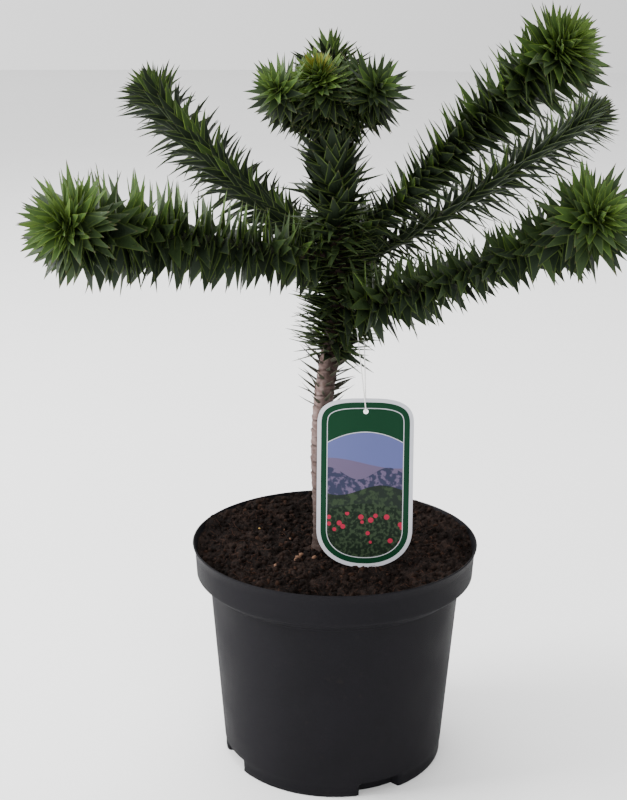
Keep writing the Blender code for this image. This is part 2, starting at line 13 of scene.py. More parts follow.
import bpy
import numpy as np
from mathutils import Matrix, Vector


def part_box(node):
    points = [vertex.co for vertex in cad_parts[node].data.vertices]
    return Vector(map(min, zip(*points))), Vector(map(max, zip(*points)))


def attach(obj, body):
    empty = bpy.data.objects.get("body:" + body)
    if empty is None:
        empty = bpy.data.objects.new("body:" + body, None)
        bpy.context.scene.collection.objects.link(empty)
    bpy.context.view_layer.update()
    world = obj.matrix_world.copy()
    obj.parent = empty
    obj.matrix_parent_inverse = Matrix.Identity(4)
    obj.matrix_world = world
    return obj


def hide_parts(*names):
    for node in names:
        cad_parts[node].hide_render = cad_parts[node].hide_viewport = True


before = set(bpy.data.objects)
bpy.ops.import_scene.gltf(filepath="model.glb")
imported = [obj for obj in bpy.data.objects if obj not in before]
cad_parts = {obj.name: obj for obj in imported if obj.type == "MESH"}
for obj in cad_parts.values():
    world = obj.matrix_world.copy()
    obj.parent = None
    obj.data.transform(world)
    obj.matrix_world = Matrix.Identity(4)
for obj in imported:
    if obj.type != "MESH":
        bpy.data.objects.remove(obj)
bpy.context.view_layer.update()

ROOT = "root"
RIGHT, BEHIND, UP = np.eye(3)
random = np.random.default_rng(5)

# %% [markdown]
# ## The camera
#
# The picture was taken from a metre away, a little above the crown, looking down. The camera
# was fitted to the pot's rim, the edge under its band and its foot, whose sizes are known.
# The lens follows from the focal length in pixels and the picture's long side.

# %% Place the camera
PICTURE_HEIGHT_PX = 800
FOCAL_PX = 1340.4
SENSOR_MM = 36.0
CAMERA_PLACE = Vector((0.0, -1.0, 0.582))
CAMERA_PITCH = 0.28
CAMERA_YAW = -0.0176
CAMERA_ROLL = 0.0059


def add_camera():
    """Forward comes from yaw and pitch, right is level, and both are then rolled about forward."""
    forward = Vector((
        math.sin(CAMERA_YAW) * math.cos(CAMERA_PITCH),
        math.cos(CAMERA_YAW) * math.cos(CAMERA_PITCH),
        -math.sin(CAMERA_PITCH),
    ))
    level = Vector((math.cos(CAMERA_YAW), -math.sin(CAMERA_YAW), 0.0))
    above = level.cross(forward)
    right = level * math.cos(CAMERA_ROLL) + above * math.sin(CAMERA_ROLL)
    up = above * math.cos(CAMERA_ROLL) - level * math.sin(CAMERA_ROLL)
    data = bpy.data.cameras.new("camera")
    data.sensor_width = SENSOR_MM
    data.lens = FOCAL_PX * SENSOR_MM / PICTURE_HEIGHT_PX
    camera = bpy.data.objects.new("camera", data)
    bpy.context.scene.collection.objects.link(camera)
    for column, axis in enumerate((right, up, -forward, CAMERA_PLACE)):
        for row in range(3):
            camera.matrix_world[row][column] = axis[row]
    bpy.context.scene.camera = camera


add_camera()

# %% [markdown]
# ## Meshes from arrays
#
# A surface here is a grid of points: rings of the same length, one after another. The first
# helpers give directions, paths and rings, and the others turn them into closed meshes.
# Working on whole arrays avoids a loop over points, and `foreach_set` hands the numbers to
# Blender in one go.


# %% Directions and rings
def unit(vectors):
    """Vectors over their own lengths."""
    return vectors / np.linalg.norm(vectors, axis=-1, keepdims=True)


def square_to(tangent, direction):
    """A direction less its share along the tangent, at unit length."""
    return unit(direction - tangent * np.sum(direction * tangent, axis=-1, keepdims=True))


def tilted(first, second, angle):
    """One direction turned towards another: first times cosine plus second times sine."""
    return first * np.cos(angle)[..., None] + second * np.sin(angle)[..., None]


def spokes(first, second, turn):
    """Directions round a line, from the two that cross it, at every angle of the turn."""
    return tilted(first[..., None, :], second[..., None, :], turn)


def around(count):
    """Even angles of one full turn."""
    return 2 * math.pi * np.arange(count) / count


def turned(radius, height, turn):
    """Rings about the upright axis: radius times cosine, radius times sine, and height."""
    x, y = radius * np.cos(turn), radius * np.sin(turn)
    return np.stack(np.broadcast_arrays(x, y, height + 0 * turn), axis=-1)


def travelled(path):
    """Distance along a path from its first point to each of its points."""
    return np.concatenate([[0.0], np.cumsum(np.linalg.norm(np.diff(path, axis=0), axis=1))])


def straight(start, end, steps):
    """Evenly spaced points on a line, ends included."""
    share = np.linspace(0.0, 1.0, steps)[:, None]
    return np.array(start) * (1 - share) + np.array(end) * share


# %% Helpers that turn arrays into closed meshes
def grid_quads(rows, columns):
    """Quads between neighbouring rings, where each ring closes on itself."""
    row, column = np.meshgrid(np.arange(rows - 1), np.arange(columns), indexing="ij")
    after = (column + 1) % columns
    low, high = row * columns, (row + 1) * columns
    quads = [low + column, low + after, high + after, high + column]
    return np.stack(quads, axis=-1).reshape(-1, 4)


def closed_tube(rings):
    """Rings joined by quads, with a fan round the middle point of the first and of the last."""
    rows, columns = rings.shape[:2]
    points = np.concatenate([rings.reshape(-1, 3), rings[[0, -1]].mean(axis=1)])
    side = np.arange(columns)
    after = (side + 1) % columns
    base = (rows - 1) * columns
    first = np.stack([after, side, np.full(columns, rows * columns)], axis=1)
    last = np.stack([base + side, base + after, np.full(columns, rows * columns + 1)], axis=1)
    return points, [grid_quads(rows, columns), np.concatenate([first, last])]


def joined(shapes):
    """Several shapes as one: each shape's faces are moved on past the points before it."""
    points, groups, start = [], {}, 0
    for own_points, own_groups in shapes:
        for group in own_groups:
            groups.setdefault(group.shape[1], []).append(group + start)
        points.append(own_points)
        start += len(own_points)
    return np.concatenate(points), [np.concatenate(group) for group in groups.values()]


def repeated(points, groups):
    """Copies of one shape, given as copies by points by 3, with its faces moved on for each."""
    starts = points.shape[1] * np.arange(len(points))[:, None, None]
    moved = [(group[None] + starts).reshape(-1, group.shape[1]) for group in groups]
    return points.reshape(-1, 3), moved


def mesh_object(name, points, groups, materials, numbers=None):
    """An object from points, groups of faces with equal corner counts, and a material per face."""
    mesh = bpy.data.meshes.new(name)
    corners = np.concatenate([group.ravel() for group in groups])
    sizes = np.concatenate([np.full(len(group), group.shape[1]) for group in groups])
    mesh.vertices.add(len(points))
    mesh.vertices.foreach_set("co", np.asarray(points, np.float32).ravel())
    mesh.loops.add(len(corners))
    mesh.loops.foreach_set("vertex_index", corners.astype(np.int32))
    mesh.polygons.add(len(sizes))
    mesh.polygons.foreach_set("loop_start", (np.cumsum(sizes) - sizes).astype(np.int32))
    for material in materials:
        mesh.materials.append(material)
    if numbers is not None:
        mesh.polygons.foreach_set("material_index", np.asarray(numbers, np.int32))
    mesh.update(calc_edges=True)
    mesh.validate()
    obj = bpy.data.objects.new(name, mesh)
    bpy.context.scene.collection.objects.link(obj)
    return obj


def finish_piece(obj, slot, *nodes, sharp=None):
    """The piece rides on the part's only body and stands for the solids that it replaces.

    With an angle in degrees it is shaded smooth, except at edges sharper than that.
    """
    if sharp is not None:
        obj.data.shade_smooth()
        obj.data.set_sharp_from_angle(angle=math.radians(sharp))
    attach(obj, ROOT)
    if nodes:
        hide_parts(*nodes)
    print(obj.name, len(obj.data.vertices), "points", len(obj.data.polygons), "faces")


# %% [markdown]
# ## Lumps that repeat each run
#
# Bark, peat and crumbs need an uneven surface that is the same every time. Value noise does
# that: each corner of a lattice has a fixed random number, and a point takes the smooth
# blend of the eight corners round it.

# %% Value noise on arrays
HASH_STEPS = np.array([127.1, 311.7, 74.7])
HASH_SEED_STEP = 17.17
HASH_SCALE = 43758.5453


def lattice_value(cell, seed):
    """A fixed number from 0 to 1 for a whole-number cell: the fraction of a large scaled sine."""
    mixed = np.sin(cell @ HASH_STEPS + seed * HASH_SEED_STEP) * HASH_SCALE
    return mixed - np.floor(mixed)


def lumps(points, size, seed):
    """Noise from -1 to 1: lattice values blended by the smoothed place inside the cell."""
    scaled = points / size
    cell = np.floor(scaled)
    part = scaled - cell
    part = part * part * (3 - 2 * part)
    total = np.zeros(points.shape[:-1])
    for corner in itertools.product((0, 1), repeat=3):
        weight = np.prod(np.where(np.array(corner) == 1, part, 1 - part), axis=-1)
        total += weight * lattice_value(cell + np.array(corner), seed)
    return total * 2 - 1


def eased(value):
    """Smooth step: nought below 0, one above 1, level at both ends."""
    value = np.clip(value, 0.0, 1.0)
    return value * value * (3 - 2 * value)


# %% [markdown]
# ## Shader helpers
#
# Every finish here is a Principled shader whose colour, roughness and bump vary a little.
# Two node groups are shared: `mottle` gives a soft mask from noise at one scale, and
# `fine_relief` adds up two noises as a height. The shader itself stays in the material.


# %% Helpers that add nodes to a tree
def feed(source, socket):
    """A socket is linked, a triple is set as a colour, and a number is set as it is."""
    if isinstance(source, bpy.types.NodeSocket):
        socket.id_data.links.new(source, socket)
    elif isinstance(source, tuple):
        socket.default_value = (*source, 1.0)
    else:
        socket.default_value = source


def add_node(tree, kind, **inputs):
    """A node with some of its inputs fed, where _ in a name stands for a space."""
    node = tree.nodes.new(kind)
    for label, source in inputs.items():
        feed(source, node.inputs[label.replace("_", " ")])
    return node


def add_math(tree, operation, *terms):
    """One Math node, whose terms are sockets or numbers."""
    node = tree.nodes.new("ShaderNodeMath")
    node.operation = operation
    for term, socket in zip(terms, node.inputs):
        feed(term, socket)
    return node.outputs["Value"]


def ranged(tree, source, old, new=(0.0, 1.0)):
    """A value moved from its old range to a new one, and kept inside it."""
    limits = dict(From_Min=old[0], From_Max=old[1], To_Min=new[0], To_Max=new[1])
    return add_node(tree, "ShaderNodeMapRange", Value=source, **limits).outputs["Result"]


# %% Node groups that the materials share
def group_with(name, numbers, output):
    """An empty group that is given a place and some numbers, and whose result is one number."""
    group = bpy.data.node_groups.new(name, "ShaderNodeTree")
    add_socket = group.interface.new_socket
    add_socket(name="Place", in_out="INPUT", socket_type="NodeSocketVector")
    for label, value in numbers.items():
        socket = add_socket(name=label, in_out="INPUT", socket_type="NodeSocketFloat")
        socket.default_value = value
    add_socket(name=output, in_out="OUTPUT", socket_type="NodeSocketFloat")
    given = group.nodes.new("NodeGroupInput").outputs
    return group, given, group.nodes.new("NodeGroupOutput").inputs[output]


def build_mottle():
    """Noise at the given scale, pushed apart so that its middle values split into two tones."""
    group, given, result = group_with("mottle", dict(Scale=100.0, Low=0.35, High=0.65), "Mask")
    noise = add_node(
        group, "ShaderNodeTexNoise", Vector=given["Place"], Scale=given["Scale"], Detail=3.0
    )
    spread = add_node(
        group, "ShaderNodeMapRange",
        Value=noise.outputs["Fac"], From_Min=given["Low"], From_Max=given["High"],
    )
    spread.interpolation_type = "SMOOTHSTEP"
    feed(spread.outputs["Result"], result)
    return group


def build_fine_relief():
    """Height from a coarse noise plus a third of a noise that is six times finer."""
    group, given, result = group_with("fine_relief", dict(Scale=400.0), "Height")
    scales = given["Scale"], add_math(group, "MULTIPLY", given["Scale"], 6.0)
    coarse, fine = (
        add_node(group, "ShaderNodeTexNoise", Vector=given["Place"], Scale=scale).outputs["Fac"]
        for scale in scales
    )
    feed(add_math(group, "MULTIPLY_ADD", fine, 0.33, coarse), result)
    return group


MOTTLE = build_mottle()
FINE_RELIEF = build_fine_relief()


# %% A small writer for materials
class Finish:
    """A material being written: its tree, its shader and the place that its patterns read."""

    def __init__(self, name, roughness, specular=0.5):
        self.material = bpy.data.materials.new(name)
        self.material.use_nodes = True
        self.tree = self.material.node_tree
        self.shader = self.tree.nodes["Principled BSDF"]
        self.shader.inputs["Roughness"].default_value = roughness
        self.shader.inputs["Specular IOR Level"].default_value = specular
        self.place = self.tree.nodes.new("ShaderNodeTexCoord").outputs["Object"]

    def node(self, kind, **inputs):
        return add_node(self.tree, kind, **inputs)

    def math(self, operation, *terms):
        return add_math(self.tree, operation, *terms)

    def shared(self, group, **inputs):
        """What a shared group gives at the finish's place."""
        node = self.node("ShaderNodeGroup")
        node.node_tree = group
        for label, source in (("Place", self.place), *inputs.items()):
            feed(source, node.inputs[label])
        return node.outputs[0]

    def mottle(self, scale, low=0.35, high=0.65):
        return self.shared(MOTTLE, Scale=scale, Low=low, High=high)

    def attribute(self, name):
        node = self.node("ShaderNodeAttribute")
        node.attribute_name = name
        return node.outputs["Fac"]

    def blend(self, mask, first, second):
        """Mix of two colours, each a triple or a socket."""
        node = self.node("ShaderNodeMix")
        node.data_type = "RGBA"
        feed(mask, node.inputs["Factor"])
        feed(first, node.inputs[6])
        feed(second, node.inputs[7])
        return node.outputs[2]

    def colour(self, source):
        """A plain triple is set on the socket, and anything worked out is linked to it."""
        feed(source, self.shader.inputs["Base Color"])

    def vary_roughness(self, mask, low, high):
        feed(ranged(self.tree, mask, (0.0, 1.0), (low, high)), self.shader.inputs["Roughness"])

    def relief(self, scale, distance, strength=1.0):
        """Bump from the shared two-scale noise."""
        height = self.shared(FINE_RELIEF, Scale=scale)
        bump = self.node("ShaderNodeBump", Height=height, Distance=distance, Strength=strength)
        feed(bump.outputs["Normal"], self.shader.inputs["Normal"])


# %% [markdown]
# ## The pot
#
# A five litre nursery pot is one thin skin of charcoal plastic, turned about its axis: a
# tapering body, a shoulder that slopes out, an upright band and a lip that flares a little.
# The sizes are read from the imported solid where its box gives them, and the rest are the
# part's own dimensions. The four drain notches are pushed into the foot by a smooth step in
# angle and height.

# %% Pot sizes
pot_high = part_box("pot")[1]
POT_HEIGHT = pot_high.z
RIM_RADIUS = pot_high.x
BAND_TOP = 0.172
BAND_TOP_RADIUS = 0.1112
BAND_BOTTOM = 0.1552
BAND_RADIUS = 0.1102
SHOULDER_BOTTOM = 0.1460
BODY_RADIUS = 0.0997
CORNER_LOOP = 0.0004
FOOT_RADIUS = 0.0886
FOOT_ROUNDING = 0.0015
POT_WALL = 0.0016
POT_FLOOR = 0.0030
LIP_ROUNDING = 0.0007
POT_COLUMNS = 288
NOTCHES = 4
NOTCH_WIDTH = 0.034
NOTCH_HEIGHT = 0.0095
NOTCH_DEPTH = 0.0085
NOTCH_BLEND = 0.0016
NOTCH_BACK = FOOT_RADIUS - NOTCH_DEPTH
NOTCH_CLEAR = 0.0005
HUB_RADIUS = 0.002
FIRST_NOTCH = math.radians(25.0)


def arc(centre, radius, start, end, steps):
    """Points of a circle's arc between two angles in degrees, as radius and height pairs."""
    turn = np.radians(np.linspace(start, end, steps))
    return np.stack([centre[0] + radius * np.cos(turn), centre[1] + radius * np.sin(turn)], axis=1)


def pot_outside():
    """Foot rounding, straight body, sloping shoulder, band and lip, as radius and height pairs.

    The shoulder's radius grows by half a straight line and half a smooth step, and the lip
    flares with the 1.5th power of the height over the band. A close pair of points keeps
    the corner under the shoulder crisp.
    """
    foot = arc((FOOT_RADIUS - FOOT_ROUNDING, FOOT_ROUNDING), FOOT_ROUNDING, -90, 0, 6)
    body = straight((FOOT_RADIUS, FOOT_ROUNDING), (BODY_RADIUS, SHOULDER_BOTTOM), 60)[1:]
    loop = body[-1:] - np.array([[0.0, CORNER_LOOP]])
    part = np.linspace(0.0, 1.0, 20)[1:]
    shoulder = np.stack([
        BODY_RADIUS + (BAND_RADIUS - BODY_RADIUS) * (part + eased(part)) / 2,
        SHOULDER_BOTTOM + (BAND_BOTTOM - SHOULDER_BOTTOM) * part,
    ], axis=1)
    band = straight((BAND_RADIUS, BAND_BOTTOM), (BAND_TOP_RADIUS, BAND_TOP), 10)[1:]
    part = np.linspace(0.0, 1.0, 9)[1:]
    lip = np.stack([
        BAND_TOP_RADIUS + (RIM_RADIUS - BAND_TOP_RADIUS) * part**1.5,
        BAND_TOP + (POT_HEIGHT - LIP_ROUNDING - BAND_TOP) * part,
    ], axis=1)
    return np.concatenate([foot, body[:-1], loop, body[-1:], shoulder, band, lip])


def pot_rings():
    """The profile turned about the axis, with the notches' push taken from the wall's radius.

    A notch is a smooth step in the way along the foot times one in height. Inside, the
    profile has the wall's thickness taken off, and the notch is twice that taller.
    """
    outside = pot_outside()
    under = straight((HUB_RADIUS, 0.0), (NOTCH_BACK - NOTCH_CLEAR, 0.0), 13)
    lip_middle = (RIM_RADIUS - POT_WALL / 2, POT_HEIGHT - POT_WALL / 2)
    lip = arc(lip_middle, POT_WALL / 2, 0, 180, 9)[1:-1]
    inside = outside[::-1] - np.array([POT_WALL, 0.0])
    inside = inside[inside[:, 1] > POT_FLOOR + NOTCH_BLEND]
    floor = straight((NOTCH_BACK - POT_WALL - NOTCH_CLEAR, POT_FLOOR), (HUB_RADIUS, POT_FLOOR), 13)
    outer = np.concatenate([under, outside[:-1], lip])
    inner = np.concatenate([inside, [[FOOT_RADIUS - POT_WALL, POT_FLOOR]], floor])
    radius, height = np.hsplit(np.concatenate([outer, inner]), 2)
    wall = np.repeat([0.0, POT_WALL], [len(outer), len(inner)])[:, None]
    turn = around(POT_COLUMNS)
    spacing = 2 * math.pi / NOTCHES
    offset = (turn - FIRST_NOTCH + spacing / 2) % spacing - spacing / 2
    sideways = eased((NOTCH_WIDTH / 2 - np.abs(offset) * FOOT_RADIUS) / NOTCH_BLEND + 0.5)
    upwards = eased((NOTCH_HEIGHT + 2 * wall - height) / NOTCH_BLEND + 0.5)
    limit = FOOT_RADIUS - NOTCH_DEPTH * sideways * upwards - wall
    notched = (height < BAND_BOTTOM) & (upwards > 0)
    return turned(np.where(notched, np.minimum(radius, limit), radius), height, turn)


# %% Pot plastic
def pot_plastic():
    """Charcoal plastic with a fine moulded grain, a soft cloud of tone and a little peat dust."""
    finish = Finish("charcoal_plastic", 0.55, 0.05)
    cloud = finish.mottle(22.0, 0.3, 0.7)
    dust = finish.mottle(160.0, 0.62, 0.8)
    tone = finish.blend(cloud, (0.0062, 0.0059, 0.0072), (0.0078, 0.0074, 0.0090))
    finish.colour(finish.blend(finish.math("MULTIPLY", dust, 0.30), tone, (0.016, 0.0135, 0.012)))
    finish.vary_roughness(cloud, 0.50, 0.62)
    finish.relief(1150.0, 0.00024, 0.85)
    return finish.material


pot = mesh_object("nursery_pot", *closed_tube(pot_rings()), [pot_plastic()])
finish_piece(pot, "pot_plastic", "pot", sharp=40)

# %% [markdown]
# ## The peat
#
# Potting peat is loose: clods, crumbs and reddish fibres. One closed body has a relief top
# made of three sizes of noise. Thousands of crumbs, hundreds of fibres and a few bark chips
# lie on it, each kind joined into one mesh, so the edge against the rim looks crumbly too.

# %% The relief top of the peat
SOIL_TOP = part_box("potting_soil")[1].z
SOIL_COLUMNS = 320
SOIL_RINGS = 130
CLOD = 0.0019
CLOD_SIZES = ((0.017, 0.8), (0.0075, 1.0), (0.0034, 0.6))
BACK_HEAP = 0.0066
WALL_GAP = 0.0002
FLOOR_GAP = 0.0006
FOOT_INSET = 0.004
SIDE_SPAN = (NOTCH_HEIGHT + 0.006, SOIL_TOP - 0.003)
SIDE_RINGS = 24
INNERMOST_SHARE = 0.014


def wall_inside(height):
    """Radius of the pot's inner wall at a height: the outer profile less the wall."""
    outside = pot_outside()
    return np.interp(height, outside[:, 1], outside[:, 0]) - POT_WALL


SOIL_RADIUS = float(wall_inside(SOIL_TOP)) - WALL_GAP


def soil_heap(x, y):
    """The peat is banked up against the wall, fully at the back and not at all in front."""
    near_wall = eased((np.hypot(x, y) / SOIL_RADIUS - 0.45) / 0.5)
    return BACK_HEAP * near_wall * eased(1.2 * y / SOIL_RADIUS + 0.42)


def soil_height(x, y):
    """Level top plus the heap plus clods: three noises, folded at nought for sharp valleys."""
    place = np.stack([x, y, np.zeros_like(x)], axis=-1)
    relief = sum(
        share * (2 * np.abs(lumps(place, size, seed)) - 0.7)
        for seed, (size, share) in enumerate(CLOD_SIZES)
    )
    return SOIL_TOP + soil_heap(x, y) + CLOD * relief


def soil_rings():
    """Underside, side against the wall, and the relief top from the wall to the middle."""
    turn = around(SOIL_COLUMNS)
    foot = POT_FLOOR + FLOOR_GAP
    heights = np.linspace(*SIDE_SPAN, SIDE_RINGS)
    side = np.stack([wall_inside(heights) - WALL_GAP, heights], axis=1)
    body = np.concatenate([[[HUB_RADIUS, foot], [NOTCH_BACK - FOOT_INSET, foot]], side])
    heap = soil_heap(SOIL_RADIUS * np.cos(turn), SOIL_RADIUS * np.sin(turn))
    edge = wall_inside(SOIL_TOP + heap) - WALL_GAP
    radii = np.linspace(1.0, INNERMOST_SHARE, SOIL_RINGS)[:, None] * edge
    top = turned(radii, soil_height(radii * np.cos(turn), radii * np.sin(turn)), turn)
    return np.concatenate([turned(body[:, :1], body[:, 1:], turn), top])


def peat(name, dark, light, red):
    """Two browns by a fine and a coarse mask, with reddish specks, very rough."""
    finish = Finish(name, 1.0, 0.05)
    clumps = finish.math("MULTIPLY", finish.mottle(260.0), finish.mottle(42.0))
    tone = finish.blend(clumps, dark, light)
    finish.colour(finish.blend(finish.mottle(900.0, 0.58, 0.72), tone, red))
    finish.relief(1100.0, 0.0006)
    return finish.material


PEAT = peat("peat", (0.0056, 0.0042, 0.0038), (0.0200, 0.0135, 0.0112), (0.036, 0.0190, 0.0135))
soil = mesh_object("peat_top", *closed_tube(soil_rings()), [PEAT])
finish_piece(soil, "soil", "potting_soil", sharp=60)

# %% [markdown]
# A crumb is an icosahedron whose corners are pushed about and which is squashed and turned
# at random. All crumbs are computed at once: their corners are an array of crumbs by 12 by 3.

# %% Crumbs
CRUMBS = 4200
CRUMB_SIZE = (0.0005, 0.0029)
CRUMB_POWER = 3.2
CRUMB_LEAST = 0.0007
ROOM_SHARE = 0.6
TRUNK_ROOM = 0.012
GOLDEN = (1 + 5**0.5) / 2


def icosahedron():
    """Twelve corners at even distances from the middle, and twenty triangles that face out."""
    corners = []
    for one, two in itertools.product((-1, 1), (-GOLDEN, GOLDEN)):
        corners += [(one, two, 0), (0, one, two), (two, 0, one)]
    corners = unit(np.array(corners, float))
    gaps = np.linalg.norm(corners[:, None] - corners, axis=-1)
    edge = gaps[0, 1:].min()
    faces = []
    for trio in itertools.combinations(range(12), 3):
        if max(gaps[pair] for pair in itertools.combinations(trio, 2)) < edge * 1.01:
            a, b, c = corners[list(trio)]
            outward = np.dot(np.cross(b - a, c - a), a) > 0
            faces.append(trio if outward else trio[::-1])
    return corners, np.array(faces)


def random_turns(count):
    """Rotation matrices from random unit quaternions, as an array of count by 3 by 3."""
    w, x, y, z = unit(random.normal(size=(count, 4))).T
    return np.stack([
        1 - 2 * (y * y + z * z), 2 * (x * y - z * w), 2 * (x * z + y * w),
        2 * (x * y + z * w), 1 - 2 * (x * x + z * z), 2 * (y * z - x * w),
        2 * (x * z - y * w), 2 * (y * z + x * w), 1 - 2 * (x * x + y * y),
    ], axis=1).reshape(-1, 3, 3)


def on_soil(count, edge=0.003):
    """Random places spread evenly over the peat, clear of the trunk and the wall."""
    radius = np.sqrt(random.uniform(TRUNK_ROOM**2, (SOIL_RADIUS - edge) ** 2, count))
    turn = random.uniform(0, 2 * math.pi, count)
    x, y = radius * np.cos(turn), radius * np.sin(turn)
    return np.stack([x, y, soil_height(x, y)], axis=1)


def scattered_lumps(places, sizes, squash, uneven):
    """Icosahedra with uneven corners, stretched by three factors, turned and put in place."""
    corners, faces = icosahedron()
    count = len(places)
    shape = corners[None] * (1 + random.uniform(-uneven, uneven, (count, 12, 1)))
    shape = shape * sizes[:, None, None] * random.uniform(*squash, (count, 1, 3))
    shape = np.einsum("nij,nkj->nki", random_turns(count), shape) + places[:, None]
    return repeated(shape, [faces])


places = on_soil(CRUMBS, 0.0006)
smallest, largest = CRUMB_SIZE
sizes = smallest + (largest - smallest) * random.uniform(0, 1, CRUMBS) ** CRUMB_POWER
room = SOIL_RADIUS - np.hypot(places[:, 0], places[:, 1])
sizes = np.minimum(sizes, ROOM_SHARE * room + CRUMB_LEAST)
points, groups = scattered_lumps(places, sizes, squash=(0.6, 1.3), uneven=0.25)
CRUMB_PEAT = [
    peat("crumb_dark", (0.0044, 0.0032, 0.0028), (0.0110, 0.0072, 0.0060), (0.020, 0.0110, 0.0080)),
    peat("crumb_brown", (0.0100, 0.0064, 0.0052), (0.0210, 0.0130, 0.0100), (0.034, 0.019, 0.0135)),
    peat("crumb_red", (0.0200, 0.0105, 0.0074), (0.0330, 0.0180, 0.0125), (0.050, 0.0270, 0.0180)),
]
shares = random.choice(3, CRUMBS, p=(0.66, 0.28, 0.06))
crumbs = mesh_object("peat_crumbs", points, groups, CRUMB_PEAT, np.repeat(shares, 20))
finish_piece(crumbs, "soil")

# %% [markdown]
# Fibres of coir and old root are thin, three-sided and curved. Each lies on the peat along a
# shallow arc. Chips are flat lumps of pale bark, and a few slow-release feed beads are amber.

# %% Fibres, chips and beads
FIBRES = 420
FIBRE_LENGTH = (0.003, 0.010)
FIBRE_RADIUS = 0.00013
FIBRE_POINTS = 6
FIBRE_LIFT = (0.0002, 0.0016)
FIBRE_REST = 0.0002
CHIPS = 12
CHIP_SIZE = (0.0010, 0.0020)
CHIP_SPOT_SIZES = (0.0026, 0.0022, 0.0019)
CHIP_SPOTS = np.array([
    [-0.0285, -0.025, 0.0012], [-0.0262, -0.020, 0.0016], [-0.0302, -0.030, 0.0010]
])
BEAD_SPOTS = np.array([[0.0105, -0.0665, 0.0], [-0.062, 0.030, 0.0], [0.02, 0.06, 0.0]])
BEAD_SIZE = 0.0011
BEAD_LIFT = 0.0008


def fibre_rings():
    """Flat arcs of random curvature over the peat, as fibres by points by three corners by 3."""
    start = on_soil(FIBRES, 0.012)
    length = random.uniform(*FIBRE_LENGTH, FIBRES)
    heading = random.uniform(0, 2 * math.pi, FIBRES)
    curve = random.uniform(-1.6, 1.6, FIBRES)
    along = np.linspace(0.0, 1.0, FIBRE_POINTS)
    angle = heading[:, None] + curve[:, None] * along
    step = length[:, None] / (FIBRE_POINTS - 1)
    x = start[:, :1] + np.cumsum(np.cos(angle) * step, axis=1)
    y = start[:, 1:2] + np.cumsum(np.sin(angle) * step, axis=1)
    lift = random.uniform(*FIBRE_LIFT, FIBRES)[:, None] * np.sin(math.pi * along)
    middle = np.stack([x, y, soil_height(x, y) + lift + FIBRE_REST], axis=-1)
    side = np.stack([-np.sin(angle), np.cos(angle), np.zeros_like(angle)], axis=-1)
    taper = FIBRE_RADIUS * (1.1 - 0.7 * along)
    return middle[:, :, None] + spokes(side, UP, around(3)) * taper[None, :, None, None]


def plain(name, colour, roughness, specular=0.3):
    """A single tint with fine relief, for small pieces whose colour has a place."""
    finish = Finish(name, roughness, specular)
    finish.colour(colour)
    finish.relief(500.0, 0.0003, 0.6)
    return finish.material


points, groups = joined(closed_tube(rings) for rings in fibre_rings())
rust = plain("root_fibre", (0.058, 0.027, 0.017), 0.95, 0.1)
finish_piece(mesh_object("peat_fibres", points, groups, [rust]), "soil", sharp=60)

CHIP_SPOTS[:, 2] += SOIL_TOP
places = np.concatenate([CHIP_SPOTS, on_soil(CHIPS, 0.02)])
sizes = np.concatenate([CHIP_SPOT_SIZES, random.uniform(*CHIP_SIZE, CHIPS)])
points, groups = scattered_lumps(places, sizes, squash=(0.35, 1.4), uneven=0.35)
pale = plain("bark_chip", (0.120, 0.064, 0.040), 0.9, 0.15)
finish_piece(mesh_object("bark_chips", points, groups, [pale]), "soil")

BEAD_SPOTS[:, 2] = soil_height(BEAD_SPOTS[:, 0], BEAD_SPOTS[:, 1]) + BEAD_LIFT
sizes = np.full(len(BEAD_SPOTS), BEAD_SIZE)
points, groups = scattered_lumps(BEAD_SPOTS, sizes, squash=(0.95, 1.05), uneven=0.03)
amber = plain("amber_bead", (0.30, 0.17, 0.025), 0.4, 0.4)
finish_piece(mesh_object("feed_beads", points, groups, [amber]), "soil", sharp=80)

# %% [markdown]
# ## The trunk and its bark
#
# The trunk's middle line leans and bends, and its radius tapers with a small flare at the
# soil. Old leaves leave scars in a golden spiral: a dark groove that goes a third of the way
# round, with a swelling under it. The bark is that rule carried out on a fine grid, with
# noise on top. The depth of each groove is kept as an attribute, so that the colour of the
# bark can follow it. A second attribute is high on the right side, away from the light, where
# painted shade darkens the bark.

# %% Trunk line and radius, as in the solids
TRUNK_HEIGHTS = (0.172, 0.212, 0.246, 0.298, 0.336, 0.370, 0.403, 0.450, 0.520)
TRUNK_LINE = (-0.0077, -0.0096, -0.0114, -0.0095, -0.0044, 0.0006, 0.0003, -0.0025, -0.0071)
TRUNK_TOP = 0.520
TRUNK_FOOT_RADIUS = 0.0082
TRUNK_TOP_RADIUS = 0.0048
TRUNK_TAPER_POWER = 1.6
FLARE = 0.0030
FLARE_HEIGHT = 0.010
GOLDEN_ANGLE = math.radians(137.508)


def smooth_value(knots, values, at):
    """Cubic through the knots whose slope at each knot is taken from its two neighbours."""
    knots, values, at = (np.asarray(item, float) for item in (knots, values, at))
    slopes = np.gradient(values, knots)
    low = np.clip(np.searchsorted(knots, at) - 1, 0, len(knots) - 2)
    step = knots[low + 1] - knots[low]
    part = (at - knots[low]) / step
    rising = part**2 * (3 - 2 * part)
    value = values[low] * (1 - rising) + values[low + 1] * rising
    bend = slopes[low] * part * (1 - part) ** 2 - slopes[low + 1] * part**2 * (1 - part)
    return value + step * bend


def trunk_axis(heights):
    """The trunk's middle line bends from side to side only."""
    heights = np.asarray(heights, float)
    line = smooth_value(TRUNK_HEIGHTS, TRUNK_LINE, heights)
    return np.stack([line, np.zeros_like(heights), heights], axis=-1)


